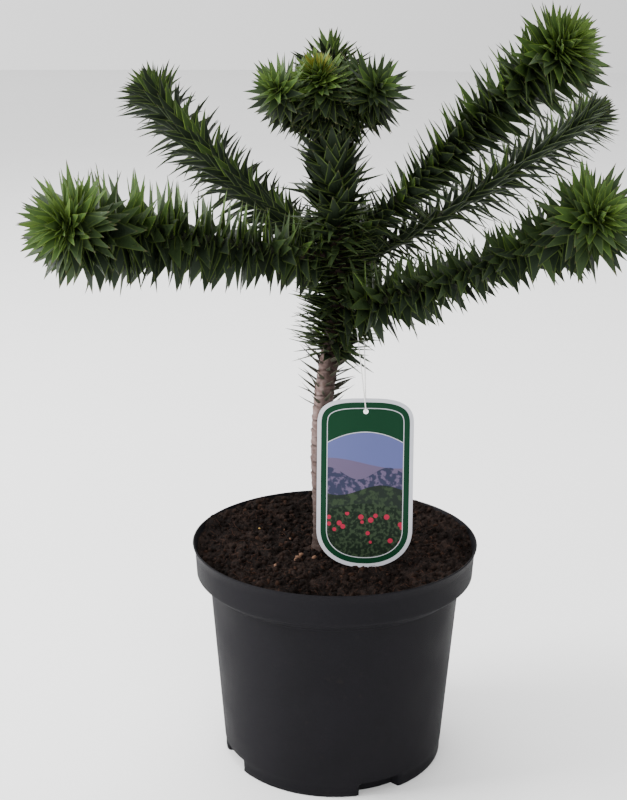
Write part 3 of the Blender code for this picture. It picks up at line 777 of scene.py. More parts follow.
def trunk_radius(heights):
    """A power of the height's share tapers the trunk, and the flare dies away above the soil."""
    above = np.asarray(heights, float) - SOIL_TOP
    share = np.clip(above / (TRUNK_TOP - SOIL_TOP), 0.0, 1.0)
    taper = TRUNK_FOOT_RADIUS + (TRUNK_TOP_RADIUS - TRUNK_FOOT_RADIUS) * share**TRUNK_TAPER_POWER
    return taper + FLARE * np.exp(-np.maximum(above, 0.0) / FLARE_HEIGHT)


# %% Scars of old leaves
SCAR_SPACING = 0.0026
SCAR_DEPTH = 0.00085
SCAR_SWELLING = 0.00075
SCAR_HEIGHT = 0.00075
SCAR_REACH = 0.75
SCAR_DROOP = 0.0016
SCAR_WINDOW = 0.008
SWELLING_DROP = 2.2
BARK_ROUGH = 0.00016
BARK_LUMPS = ((0.0022, 1.0), (0.0009, 0.6))


def scar_fields(along, turn):
    """Groove and swelling, from 0 to 1, summed over all scars on a grid of distance and angle.

    A groove is a bell curve in distance times one in angle, and it droops with the square
    of the angle. The swelling is the same shape moved down and made twice as tall.
    """
    number = np.arange(int(along[-1] / SCAR_SPACING))
    shift = lattice_value(np.stack([number] * 3, axis=1), 3)
    heights = (number + 0.5 + shift) * SCAR_SPACING
    groove = np.zeros((len(along), len(turn)))
    swelling = np.zeros_like(groove)
    for height, angle in zip(heights, number * GOLDEN_ANGLE):
        near = np.abs(along - height) < SCAR_WINDOW
        offset = (turn - angle + math.pi) % (2 * math.pi) - math.pi
        sideways = np.exp(-((offset / SCAR_REACH) ** 2))
        drop = (along[near][:, None] - height + SCAR_DROOP * offset**2) / SCAR_HEIGHT
        groove[near] += np.exp(-(drop**2)) * sideways
        swelling[near] += np.exp(-(((drop + SWELLING_DROP) / 2) ** 2)) * sideways
    return np.clip(groove, 0, 1), np.clip(swelling, 0, 1)


def barked(path, radii, normal, across, columns, depth=1.0):
    """Rings of a limb with scars: radius plus swelling minus groove plus two sizes of noise."""
    turn = around(columns)
    groove, swelling = scar_fields(travelled(path), turn)
    wheel = spokes(normal, across, turn)
    even = path[:, None] + wheel * radii[:, None, None]
    rough = BARK_ROUGH * sum(
        share * lumps(even, size, seed) for seed, (size, share) in enumerate(BARK_LUMPS, start=11)
    )
    lift = depth * (SCAR_SWELLING * swelling - SCAR_DEPTH * groove + rough)
    return path[:, None] + wheel * (radii[:, None] + lift)[..., None], groove


def set_field(obj, name, values):
    """A number per point, which a material reads by its name."""
    attribute = obj.data.attributes.new(name, "FLOAT", "POINT")
    attribute.data.foreach_set("value", np.asarray(values, np.float32))


def with_ends(values):
    """Numbers on a tube's rings, then nought for the middle points of its two ends."""
    return np.append(values, (0.0, 0.0))


def barked_object(name, limbs, material):
    """Limbs as one mesh, whose field says how deep each point lies in a scar."""
    points, groups = joined(closed_tube(rings) for rings, _ in limbs)
    obj = mesh_object(name, points, groups, [material])
    set_field(obj, "scar", np.concatenate([with_ends(groove) for _, groove in limbs]))
    return obj


# %% Bark colours
# The bark turns darker from just under the boughs upwards, and towards the soil.
DARKER_HIGH = (0.305, 0.352)
DARKER_AT_SOIL = (SOIL_TOP + 0.155, SOIL_TOP + 0.008)


def bark(name, pale, brown, scar, dark_tone_and_shade):
    """Two tones by noise, dark in scars, darker at the soil and under the boughs, painted shade on
    one side.
    """
    finish = Finish(name, 0.85, 0.25)
    height = finish.node("ShaderNodeSeparateXYZ", Vector=finish.place).outputs["Z"]
    masks = [ranged(finish.tree, height, span) for span in (DARKER_HIGH, DARKER_AT_SOIL)]
    tone = finish.blend(finish.mottle(240.0, 0.3, 0.7), pale, brown)
    # The last mask is painted shade: the trunk's side away from the light is darkened.
    for mask in (*masks, finish.attribute("painted_shade_side")):
        tone = finish.blend(mask, tone, dark_tone_and_shade)
    finish.colour(finish.blend(finish.attribute("scar"), tone, scar))
    finish.vary_roughness(finish.mottle(700.0), 0.72, 0.95)
    finish.relief(1800.0, 0.0003, 0.8)
    return finish.material


BARK = bark(
    "ringed_bark",
    pale=(0.296, 0.212, 0.197),
    brown=(0.142, 0.088, 0.077),
    scar=(0.024, 0.015, 0.012),
    dark_tone_and_shade=(0.028, 0.0165, 0.0130),
)

TRUNK_RINGS = 760
TRUNK_COLUMNS = 88
# Painted shade: the trunk is darkened on its right side, away from the light.
PAINTED_SHADE_ANGLE = math.radians(-18.0)
PAINTED_SHADE_EDGE = 1.1
heights = np.linspace(SOIL_TOP - 0.002, TRUNK_TOP, TRUNK_RINGS)
rings, groove = barked(trunk_axis(heights), trunk_radius(heights), RIGHT, BEHIND, TRUNK_COLUMNS)
trunk = barked_object("trunk_bark", [(rings, groove)], BARK)
painted_shade_side = eased(0.5 + PAINTED_SHADE_EDGE * np.cos(around(TRUNK_COLUMNS) - PAINTED_SHADE_ANGLE))
set_field(trunk, "painted_shade_side", with_ends(painted_shade_side * (0.75 + 0.25 * lumps(rings, 0.006, 21))))
finish_piece(trunk, "bark", "trunk", sharp=80)

# %% [markdown]
# ## Boughs
#
# Every bough runs out along its azimuth and rises, and near its end it may swing sideways.
# Its frame is the tangent, the direction nearest to upright, and the direction across both.
# The numbers are those of the solids. A short bare foot carries each leafy shoot, and the
# shoot's stem grows on from it.

# %% Bough lines, as in the solids
LIMB_REACH = 0.025
LIMB_RADIUS = 0.0054
LIMB_END_RADIUS = 0.0050
STEM_TIP_RADIUS = 0.0030
SWING_POWER = 4
NEARLY_UPRIGHT = 0.97
BOUGHS = {
    "left_front": dict(azimuth=193, attach=0.406, reach=0.205, rise=0.038, bend=1.15, swing=0.26),
    "left_back": dict(azimuth=140, attach=0.418, reach=0.202, rise=0.104, bend=1.60, swing=0.0),
    "back": dict(azimuth=81, attach=0.381, reach=0.128, rise=0.032, bend=1.00, swing=0.0),
    "right_back": dict(azimuth=27, attach=0.397, reach=0.228, rise=0.109, bend=1.20, swing=0.0),
    "right_high": dict(azimuth=9, attach=0.412, reach=0.146, rise=0.152, bend=1.20, swing=-0.50),
    "right_front": dict(azimuth=-32, attach=0.367, reach=0.221, rise=0.094, bend=1.20, swing=-0.20),
    "crown_left": dict(azimuth=194, attach=0.509, reach=0.045, rise=0.023, bend=1.3, swing=0.36),
    "crown_right": dict(azimuth=-14, attach=0.511, reach=0.040, rise=0.022, bend=1.3, swing=-0.36),
    "crown_back": dict(azimuth=92, attach=0.498, reach=0.028, rise=0.056, bend=1.2, swing=0.0),
}
CROWN_TIP = np.array([-0.0160, -0.021, 0.542])
CROWN_FOOT = TRUNK_TOP - 0.004


def bough_line(bough, distances):
    """Out along the azimuth, rising with a power of the distance's share.

    It swings sideways with a higher power of the share, so that only its end turns.
    """
    distances = np.asarray(distances, float)
    angle = math.radians(bough["azimuth"])
    share = np.maximum(distances, 0.0) / bough["reach"]
    rise = bough["rise"] * share ** bough["bend"]
    aside = bough["swing"] * bough["reach"] * share**SWING_POWER
    out_x = math.cos(angle) * distances - math.sin(angle) * aside
    out_y = math.sin(angle) * distances + math.cos(angle) * aside
    return trunk_axis(bough["attach"]) + np.stack([out_x, out_y, rise], axis=-1)


def line_frame(path):
    """Tangent, upright less its share along the tangent, and the direction across both.

    Where the path itself is nearly upright, forwards stands in for upright.
    """
    tangent = unit(np.gradient(path, axis=0))
    first = np.where(np.abs(tangent[:, 2:]) < NEARLY_UPRIGHT, UP, -BEHIND)
    normal = square_to(tangent, first)
    return tangent, normal, np.cross(tangent, normal)


def barked_path(path, first, last, columns, depth):
    """Bark along a path, whose radius goes evenly from the first to the last."""
    _, normal, across = line_frame(path)
    return barked(path, np.linspace(first, last, len(path)), normal, across, columns, depth)


# %% Bare feet of the boughs
MAIN_BOUGHS = [name for name in BOUGHS if not name.startswith("crown")]
FOOT_SPAN = (0.002, LIMB_REACH + 0.004)
FOOT_RINGS = 70
FOOT_COLUMNS = 48
FOOT_RELIEF = 0.8
feet = []
for name in MAIN_BOUGHS:
    path = bough_line(BOUGHS[name], np.linspace(*FOOT_SPAN, FOOT_RINGS))
    feet.append(barked_path(path, LIMB_RADIUS, LIMB_END_RADIUS, FOOT_COLUMNS, FOOT_RELIEF))
limbs = barked_object("bough_bark", feet, BARK)
finish_piece(limbs, "bark", *[f"bough_{name}" for name in MAIN_BOUGHS], sharp=80)

# %% [markdown]
# ## One leaf
#
# A monkey puzzle leaf is a stiff, pointed plate with a wide foot. It is folded like a shallow
# boat, thick along the keel, and edged with a paler, horny margin that ends in a spine. Its
# cross-section here has eight points, and six sections lead to the tip: 49 faces in all.
# The middle line is an arc, so a leaf may curl in towards the shoot's tip or bend back from
# it. Every leaf of a shoot is computed in one go, and faces wear one of a few plain colours:
# blade, underside, margin or spine. That keeps the colours in place on thousands of leaves.

# %% Leaf surface
LEAF_STATIONS = np.array([0.0, 0.12, 0.30, 0.52, 0.74, 0.92])
LEAF_WIDEST = 0.22
LEAF_FOOT = 0.62
LEAF_TAPER = 1.04
LEAF_FOLD = 0.24
LEAF_THICK = 0.032
LEAST_BEND = 0.01
MARGIN_SHARE = 0.15
INNER = 1 - MARGIN_SHARE
SECTION_ACROSS = np.array([-1, -INNER, 0, INNER, 1, INNER, 0, -INNER])
SECTION_DEPTH = np.array([0.25, 0.0, 0.0, 0.0, 0.25, 0.55, 1.0, 0.55])
SECTION_PART = np.array([1, 0, 0, 1, 1, 2, 2, 1])


def leaf_outline(share):
    """Half width over its largest.

    It is a sine from the foot to the widest place, then nearly straight to the tip.
    """
    rise = LEAF_FOOT + (1 - LEAF_FOOT) * np.sin(math.pi / 2 * np.minimum(1.0, share / LEAF_WIDEST))
    return rise * (1 - np.clip((share - LEAF_WIDEST) / (1 - LEAF_WIDEST), 0, 1)) ** LEAF_TAPER


def leaf_points(leaves):
    """Points of all leaves: leaves by 49 by 3, six sections of eight and the tip.

    The middle line is an arc: forwards the sine of the turned angle over the bend, upwards
    one minus its cosine over the bend, both times the length. Upwards is the side that
    faces the shoot's tip. A section lies across the line, its sides raised by the fold and
    its underside lowered by the thickness.
    """
    bend = np.where(np.abs(leaves["bend"]) < LEAST_BEND, LEAST_BEND, leaves["bend"])[:, None]
    angle = bend * np.append(LEAF_STATIONS, 1.0)
    length = leaves["length"][:, None]
    forward = (length * np.sin(angle) / bend)[..., None]
    upward = (length * (1 - np.cos(angle)) / bend)[..., None]
    along, across = leaves["along"][:, None], leaves["across"][:, None]
    upper = np.cross(across, along)
    middle = leaves["root"][:, None] + along * forward + upper * upward
    normal = tilted(upper, -along, angle)
    half = leaves["width"][:, None] / 2 * leaf_outline(LEAF_STATIONS)
    thick = length * LEAF_THICK * np.sqrt(1 - LEAF_STATIONS)
    sideways = half[..., None] * SECTION_ACROSS
    raised = np.abs(sideways) * LEAF_FOLD - thick[..., None] * SECTION_DEPTH
    sections = middle[:, :-1, None] + across[:, :, None] * sideways[..., None]
    sections = sections + normal[:, :-1, None] * raised[..., None]
    return np.concatenate([sections.reshape(len(sections), -1, 3), middle[:, -1:]], axis=1)


def leaf_faces():
    """Faces of one leaf: quads between sections, triangles to the tip and an eight-sided foot."""
    sections, corners = len(LEAF_STATIONS), len(SECTION_ACROSS)
    corner = np.arange(corners)
    base = (sections - 1) * corners
    after = base + (corner + 1) % corners
    tip = np.stack([base + corner, after, np.full(corners, sections * corners)], axis=1)
    return [grid_quads(sections, corners), tip, corner[::-1][None]]


def leaf_object(name, leaves, colours, parts):
    """All leaves of one mass as one mesh in numbered colours.

    A row of parts has one leaf's numbers for its blade, margin and underside. The foot is
    coloured as the blade is, and the tip has the last colour.
    """
    quads = np.tile(parts[:, SECTION_PART], (1, len(LEAF_STATIONS) - 1))
    tips = np.full(len(parts) * len(SECTION_PART), len(colours) - 1)
    numbers = np.concatenate([quads.ravel(), tips, parts[:, 0]])
    points, groups = repeated(leaf_points(leaves), leaf_faces())
    return mesh_object(name, points, groups, colours, numbers)


# %% [markdown]
# The tints run from the near black green of old, shaded leaves to the yellow heart of the
# growing tip. Each is a plain base colour with a soft gloss.

# %% Leaf colours
BLADES = {
    "leaf_shade": (0.0110, 0.0155, 0.0090),
    "leaf_deep": (0.0168, 0.0262, 0.0140),
    "leaf_green": (0.0275, 0.0470, 0.0170),
    "leaf_bright": (0.0455, 0.0850, 0.0200),
    "leaf_lime": (0.0700, 0.1220, 0.0210),
    "leaf_heart": (0.1200, 0.1210, 0.0130),
}
UNDERSIDES = {"leaf_under": (0.0110, 0.0178, 0.0085), "leaf_under_young": (0.0340, 0.0620, 0.0145)}
MARGINS = {"leaf_margin": (0.0560, 0.0860, 0.0200), "leaf_margin_young": (0.1100, 0.1750, 0.0260)}
SPINE = {"leaf_spine": (0.0500, 0.0520, 0.0200)}
YOUNG = 3


def leaf_finish(name, colour, roughness):
    """A plain colour under a soft waxy gloss, with fine uneven relief."""
    finish = Finish(name, roughness, 0.16)
    finish.colour(colour)
    finish.vary_roughness(finish.mottle(300.0), roughness - 0.08, roughness + 0.10)
    finish.relief(900.0, 0.00018, 0.5)
    return finish.material


LEAF_COLOURS = [
    leaf_finish(name, colour, roughness)
    for colours, roughness in ((BLADES, 0.46), (UNDERSIDES, 0.55), (MARGINS, 0.48), (SPINE, 0.60))
    for name, colour in colours.items()
]


def green_parts(tints):
    """Each leaf's colour numbers: its tint, then a margin and an underside, old or young."""
    young = (tints >= YOUNG).astype(int)
    under = len(BLADES) + young
    return np.stack([tints, under + len(UNDERSIDES), under], axis=1)


# %% [markdown]
# ## The spiral
#
# Leaves stand in a golden spiral, 137.5 degrees apart. Along the stem they lean out at a
# steady angle. Over the last leaves the lean shrinks slowly at first and fast at the end, so
# the shoot ends in an open star with a bud in its heart. These leaves are also brighter. The
# solids use the same rule with fewer leaves.
#
# The common habit has the numbers that most shoots share: how much longer and broader the
# leaves below the stem are, how much darker they are as painted shade, and how far leaves roll
# on their feet, with the hanging ones twisted further. Tints run up to the brightest, and a
# share of the leaves makes up the tip.

# %% The spiral rule
TIP_ZONE = 0.016
TIP_SINK = 0.003
TIP_SHORTENING = 0.30
TIP_STEADINESS = 0.7
CLOSING_POWER = 0.42
ANGLE_SPREAD = math.radians(9.0)
LEAN_SPREAD = math.radians(10.0)
BEND_SPREAD = math.radians(10.0)
LENGTH_SPREAD = 0.14
TINT_SPREAD = 0.38
STEM_FRESHNESS = 0.5
TIP_FRESHNESS = 2.4
LOOSE_LEAN = math.radians(32.0)
TRUNK_CLEAR = 0.0012
TOP_CLEAR = 0.004
CHECKED_SHARES = np.array([0.45, 0.7, 0.95])
HABIT = dict(
    hang=0.18, broad=0.25, painted_shade_below=0.9, roll=math.radians(20.0), twist=math.radians(30.0), ground=1.0,
    brightest=4, loose=0.0, tips=0.28, stem_tip=STEM_TIP_RADIUS, clear=True,
)


def spiral(path, depth, shoot, tips):
    """All leaves along a path as arrays, in the way that the shoot's own numbers say.

    Turn is the leaf's number times the golden angle. Share is its place along the stem, and
    closing runs from 0 to 1 over the last leaves, whose lean is multiplied by a power of
    what is left. Length is read from the shoot's list by share. Leaves below the stem are
    longer and wider than those above it, are darker by painted shade, and turn on their feet.
    The first direction leans half of the backward bend less, so that the whole leaf keeps the lean.
    """
    count = shoot["count"]
    tangents, normals, sides = line_frame(path)
    way = travelled(path)
    number = np.arange(count)
    zone = TIP_ZONE if tips else 0.0
    closing = np.clip((number - (count - tips) + 1) / max(tips, 1), 0.0, 1.0)
    share = np.minimum(1.0, (number + 0.5) / (count - tips))
    distance = (way[-1] - zone) * share + zone * closing

    def read(field):
        return np.stack([np.interp(distance, way, values) for values in field.T], axis=1)

    def chance(spread):
        return random.uniform(-1, 1, count) * spread

    turn = number * GOLDEN_ANGLE + chance(ANGLE_SPREAD)
    tangent = unit(read(tangents))
    radial = unit(tilted(read(normals), read(sides), turn))
    first, last = shoot["leans"]
    lean = np.radians(first + (last - first) * share) * (1 - closing) ** CLOSING_POWER
    lean = lean + chance(LEAN_SPREAD) * (1 - TIP_STEADINESS * closing)
    lean = lean + LOOSE_LEAN * (random.uniform(0, 1, count) < shoot["loose"])
    lengths = shoot["lengths"]
    length = np.interp(share, np.linspace(0, 1, len(lengths)), lengths)
    droop = radial[:, 2] * np.abs(np.sin(lean)) * (1 - closing)
    length = length * (1 + chance(LENGTH_SPREAD) - shoot["hang"] * droop)
    length = length * (1 - TIP_SHORTENING * closing)
    bend = random.normal(0, BEND_SPREAD, count) - math.radians(shoot["recurve"]) * (1 - closing)
    along = tilted(tangent, radial, lean + bend / 2)
    across = np.cross(radial, tangent)
    twist = shoot["twist"] * np.clip(-radial[:, 2], 0, 1) * (1 - closing)
    roll = chance(shoot["roll"] + twist)
    outwards = radial * (depth * (1 - closing))[:, None]
    inwards = tangent * (TIP_SINK * closing)[:, None]
    width = shoot["width"] * (1 - shoot["broad"] * droop)
    width = width + (shoot.get("tip_width", shoot["width"]) - shoot["width"]) * closing
    # Painted shade: leaves below the stem get darker tints.
    tint = shoot["ground"] + shoot["painted_shade_below"] * droop
    tint = tint + shoot["fresh"] * (STEM_FRESHNESS * share + TIP_FRESHNESS * closing)
    tint = tint + random.normal(0, TINT_SPREAD, count)
    return {
        "root": read(path) + outwards - inwards,
        "along": along,
        "across": unit(tilted(across, np.cross(along, across), roll)),
        "length": length,
        "width": length * width,
        "bend": bend,
        "tint": np.clip(np.rint(tint), 0, shoot["brightest"]).astype(int),
    }


def clear_of_trunk(leaves):
    """Drops leaves whose outer half would run into the trunk, at any of three places on it."""
    reach = leaves["length"][:, None] * CHECKED_SHARES
    places = leaves["root"][:, None] + leaves["along"][:, None] * reach[..., None]
    height = places[..., 2]
    axis = trunk_axis(np.clip(height, TRUNK_HEIGHTS[0], TRUNK_TOP))
    away = np.linalg.norm((places - axis)[..., :2], axis=-1)
    inside = (away < trunk_radius(height) + TRUNK_CLEAR) & (height < TRUNK_TOP + TOP_CLEAR)
    return {key: values[~inside.any(axis=1)] for key, values in leaves.items()}


# %% [markdown]
# Each shoot gives its own numbers over the common habit. Leans are degrees off the stem, at
# its foot and near its tip, lengths are read evenly along it, and widths are shares of them.
# Recurve is how far a leaf bends back, and fresh is how much brighter they get towards the
# tip. The crown's middle shoot stands straight on the trunk's end and has the brightest heart.

# %% Shoots with their leaves
CROWN_SIDE = dict(
    count=215, leans=(86, 80), width=0.32, hang=-0.12, roll=0.4, recurve=4, ground=0.7, painted_shade_below=1.5,
)
SHOOTS = {
    "left_front": dict(
        count=430, leans=(86, 80), lengths=(0.028, 0.031, 0.036, 0.042, 0.041), width=0.37,
        broad=0.36, hang=0.02, twist=0.9, roll=0.5, recurve=6, ground=1.55, fresh=0.7,
        tip_width=0.30,
    ),
    "left_back": dict(
        count=400, leans=(62, 58), lengths=(0.028, 0.032, 0.036, 0.034), width=0.24, broad=-0.25,
        roll=0.12, twist=0.1, recurve=36, ground=1.3, painted_shade_below=1.3, fresh=0.75, tip_width=0.30,
    ),
    "back": dict(
        count=190, leans=(72, 60), lengths=(0.027, 0.031), width=0.36, recurve=10, fresh=0.6
    ),
    "right_back": dict(
        count=420, leans=(76, 62), lengths=(0.028, 0.031, 0.034, 0.030), width=0.16, broad=-0.45,
        hang=0.12, roll=0.2, recurve=6, ground=0.9, painted_shade_below=1.5, fresh=0.55, tip_width=0.42,
    ),
    "right_high": dict(
        count=480, leans=(70, 72), lengths=(0.022, 0.026, 0.033, 0.037), width=0.34, broad=0.1,
        roll=0.45, recurve=8, ground=1.9, fresh=0.68, tip_width=0.28,
    ),
    "right_front": dict(
        count=480, leans=(74, 76), lengths=(0.033, 0.032, 0.027, 0.023, 0.024, 0.032, 0.037),
        width=0.34, hang=0.0, roll=0.45, recurve=8, ground=1.4, fresh=0.65, tip_width=0.30,
    ),
    "crown_left": dict(CROWN_SIDE, lengths=(0.026, 0.028), fresh=0.9),
    "crown_right": dict(CROWN_SIDE, lengths=(0.028, 0.031), fresh=0.6),
    "crown_back": dict(
        count=170, leans=(76, 70), lengths=(0.028, 0.031), width=0.33, recurve=6, ground=1.3,
        fresh=0.7,
    ),
    "crown_centre": dict(
        count=250, leans=(88, 84), lengths=(0.030, 0.029), width=0.34, roll=0.4, recurve=4,
        ground=0.8, painted_shade_below=1.4, fresh=1.5, brightest=5, tips=0.6, stem_tip=0.0025, clear=False,
    ),
}
SHOOT_POINTS = 60
LEAF_ROOT = 0.0022
STEM_RADIUS = 0.0044
STEM_COLUMNS = 16
STEM_RELIEF = 0.5
BOUGH_START = LIMB_REACH * 0.35
CROWN_START = TRUNK_TOP_RADIUS * 0.5


def shoot_path(name):
    """The shoot's stem: along its bough, or for the crown's middle on from the trunk."""
    if name == "crown_centre":
        return straight(trunk_axis(CROWN_FOOT), CROWN_TIP, SHOOT_POINTS)
    start = BOUGH_START if name in MAIN_BOUGHS else CROWN_START
    return bough_line(BOUGHS[name], np.linspace(start, BOUGHS[name]["reach"], SHOOT_POINTS))


def add_leaves(name, path, depth, shoot, tips):
    """One mass of green leaves as a finished piece, and the count of its leaves."""
    leaves = spiral(path, depth, shoot, tips)
    if shoot["clear"]:
        leaves = clear_of_trunk(leaves)
    obj = leaf_object(f"leaves_{name}", leaves, LEAF_COLOURS, green_parts(leaves["tint"]))
    finish_piece(obj, "leaves", f"foliage_{name}", sharp=48)
    return len(leaves["root"])


stems = []
leaf_total = 0
for name, own in SHOOTS.items():
    shoot = {**HABIT, **own}
    path = shoot_path(name)
    leaf_total += add_leaves(name, path, LEAF_ROOT, shoot, round(shoot["count"] * shoot["tips"]))
    stems.append(barked_path(path, STEM_RADIUS, shoot["stem_tip"], STEM_COLUMNS, STEM_RELIEF))


# %% [markdown]
# Two sleeves of leaves wrap the trunk itself: the whorl from which the boughs spread, and
# the leader above it, whose leaves point upwards like tiles.

# %% Leader, whorl and stems
SLEEVES = {
    "leader": dict(
        bottom=0.430, top=0.512, count=150, leans=(42, 36), lengths=(0.035, 0.032), width=0.42,
        recurve=4, fresh=-0.6, loose=0.25,
    ),
    "whorl": dict(
        bottom=0.332, top=0.440, count=430, leans=(80, 74), lengths=(0.030, 0.031), width=0.21,
        recurve=8, ground=1.5, fresh=0.5, loose=0.2,
    ),
}
SLEEVE_SINK = 0.0016

for name, own in SLEEVES.items():
    path = trunk_axis(np.linspace(own["bottom"], own["top"], SHOOT_POINTS))
    depth = float(trunk_radius(own["bottom"])) - SLEEVE_SINK
    leaf_total += add_leaves(name, path, depth, {**HABIT, **own}, 0)
print("leaves in all", leaf_total)

GREEN_BARK = bark(
    "green_bark",
    pale=(0.016, 0.024, 0.009),
    brown=(0.022, 0.018, 0.010),
    scar=(0.006, 0.007, 0.004),
    dark_tone_and_shade=(0.014, 0.018, 0.007),
)
finish_piece(barked_object("shoot_stems", stems, GREEN_BARK), "bark", sharp=80)

# %% [markdown]
# Below the whorl a few dead leaves still cling to the bark: narrow, dry and grey brown. They
# use the same leaf surface with their own two colours.

# %% Dry leaves on the lower trunk
DRY = dict(
    bottom=0.288, top=0.345, count=62, leans=(56, 60), lengths=(0.018, 0.023), width=0.19,
    recurve=-4, fresh=0.0,
)
DRY_SINK = 0.0010
DRY_PARTS = (0, 1, 0)
DRY_COLOURS = [
    plain("dry_leaf", (0.036, 0.036, 0.024), 0.85, 0.15),
    plain("dry_leaf_edge", (0.070, 0.062, 0.044), 0.85, 0.15),
]

path = trunk_axis(np.linspace(DRY["bottom"], DRY["top"], SHOOT_POINTS))
depth = float(trunk_radius(DRY["top"])) - DRY_SINK
leaves = spiral(path, depth, {**HABIT, **DRY}, 0)
dry = leaf_object("dry_leaves", leaves, DRY_COLOURS, np.tile(DRY_PARTS, (DRY["count"], 1)))
finish_piece(dry, "bark", sharp=48)

# %% [markdown]
# ## The hanging label
#
# The label is a thin printed sheet with rounded ends that leans back on its thread. It is
# built flat, gets its hole by a Boolean, and is then curled and set in place. The print is a
# generic picture: a green heading with a curved edge, a pale sky, two ranges of hills, a
# meadow and a row of blossoms. It is drawn by the material from each point's place on the
# sheet, so it stays sharp at any size. A second map keeps the distance from the edge.

# %% Label sizes and sheet
LABEL_WIDTH = 0.0737
LABEL_HEIGHT = 0.1316
LABEL_THICKNESS = 0.0006
LABEL_FOOT = (0.0227, -0.0394)
LABEL_LEAN = math.radians(8.0)
LABEL_TOP_CURVE = 0.022
LABEL_TOP_POWER = 3.0
LABEL_FOOT_CURVE = 0.030
LABEL_FOOT_POWER = 2.2
LABEL_HOLE_HEIGHT = 0.1215
LABEL_HOLE_RADIUS = 0.0019
LABEL_ROWS = 150
LABEL_COLUMNS = 64
LABEL_CURL = 0.0032
CURL_SIDES = 0.55
CURL_CORNER = 0.6
CURL_REST = 0.35
ROD_REACH = 0.003

label_base = np.array([*LABEL_FOOT, SOIL_TOP + 0.0003])
label_up = np.array([0.0, math.sin(LABEL_LEAN), math.cos(LABEL_LEAN)])
label_out = np.array([0.0, -math.cos(LABEL_LEAN), math.sin(LABEL_LEAN)])


def label_half_width(height):
    """Half the sheet's width at a height: full between the ends, superellipses over and under."""
    over = np.clip((height - (LABEL_HEIGHT - LABEL_TOP_CURVE)) / LABEL_TOP_CURVE, 0, 1)
    under = np.clip((LABEL_FOOT_CURVE - height) / LABEL_FOOT_CURVE, 0, 1)
    top = (1 - over**LABEL_TOP_POWER) ** (1 / LABEL_TOP_POWER)
    foot = (1 - under**LABEL_FOOT_POWER) ** (1 / LABEL_FOOT_POWER)
    return LABEL_WIDTH / 2 * np.minimum(top, foot)


def flat_label():
    """Front and back as one closed ring per height, crowded towards the two rounded ends."""
    share = (1 - np.cos(math.pi * np.linspace(0.004, 0.996, LABEL_ROWS))) / 2
    height = LABEL_HEIGHT * share
    across = label_half_width(height)[:, None] * np.linspace(-1.0, 1.0, LABEL_COLUMNS)
    front = np.stack(np.broadcast_arrays(across, -LABEL_THICKNESS / 2, height[:, None]), axis=-1)
    back = front[:, ::-1] * np.array([1.0, -1.0, 1.0])
    return closed_tube(np.concatenate([front, back], axis=1))


def cut_hole(obj):
    """A short round rod through the sheet is subtracted and removed."""
    ends = turned(LABEL_HOLE_RADIUS, [[ROD_REACH], [-ROD_REACH]], around(40))[..., [0, 2, 1]]
    points, groups = closed_tube(ends + UP * LABEL_HOLE_HEIGHT)
    rod = mesh_object("hole_rod", points, groups, [])
    modifier = obj.modifiers.new("hole", "BOOLEAN")
    modifier.operation = "DIFFERENCE"
    modifier.solver = "EXACT"
    modifier.object = rod
    graph = bpy.context.evaluated_depsgraph_get()
    cut = bpy.data.meshes.new_from_object(obj.evaluated_get(graph))
    obj.modifiers.clear()
    obj.data = cut
    bpy.data.objects.remove(rod)


def edge_distance(x, height):
    """Distance of each point from the outline, as the smallest gap to a fine row of its points."""
    rows = LABEL_HEIGHT * (1 - np.cos(math.pi * np.linspace(0, 1, 500))) / 2
    half = label_half_width(rows)
    gaps = np.hypot(np.abs(x)[:, None] - half[None], height[:, None] - rows[None])
    return gaps.min(axis=1)


def place_label(obj):
    """Keeps each point's share of the sheet as a map, then curls the sheet and leans it back.

    The curl goes back with the square of the way to a side, and more at the top right corner.
    """
    mesh = obj.data
    flat = np.empty(len(mesh.vertices) * 3, np.float32)
    mesh.vertices.foreach_get("co", flat)
    flat = flat.reshape(-1, 3).astype(float)
    corner = np.empty(len(mesh.loops), np.int32)
    mesh.loops.foreach_get("vertex_index", corner)
    sheet_map = mesh.uv_layers.new(name="sheet")
    share = np.stack([flat[:, 0] / LABEL_WIDTH + 0.5, flat[:, 2] / LABEL_HEIGHT], axis=1)
    sheet_map.data.foreach_set("uv", share[corner].astype(np.float32).ravel())
    set_field(obj, "rim", edge_distance(flat[:, 0], flat[:, 2]) * 1000)
    side, high = flat[:, 0] / (LABEL_WIDTH / 2), flat[:, 2] / LABEL_HEIGHT
    corner_share = eased(high * 1.6 - 0.6) * eased(side * 0.7 + 0.3)
    curl = LABEL_CURL * (CURL_REST - CURL_SIDES * side**2 - CURL_CORNER * corner_share)
    placed = (
        label_base
        + RIGHT * flat[:, :1]
        + label_up * flat[:, 2:]
        + label_out * (curl - flat[:, 1])[:, None]
    )
    mesh.vertices.foreach_set("co", placed.astype(np.float32).ravel())
    mesh.update()


# %% [markdown]
# The print compares heights: a point is meadow where it lies under one wave, near hill under
# the next, and so on. Each comparison is a Math node, and each answer picks a colour.

# %% The printed face
BORDER_MM = 3.0
FRAME_MM = 7.4
LINE_MM = 0.55
SKY = (0.080, 0.092, 0.225)
HAZE = (0.095, 0.074, 0.130)
FAR_HILL = (0.024, 0.027, 0.056)
NEAR_HILL = (0.010, 0.016, 0.012)
MEADOW = (0.005, 0.011, 0.006)
MEADOW_LIGHT = (0.024, 0.040, 0.020)
FRAME_GREEN = (0.0010, 0.0270, 0.0100)
PAPER = (0.47, 0.48, 0.52)
BLOSSOM = (0.30, 0.013, 0.040)
BLOSSOM_CELL_MM = 6.4
BLOSSOM_SIZE = 0.33
BLOSSOM_BAND = (0.13, 0.33)
HEADING_MM = 106.0
HEADING_ARCH = -0.010


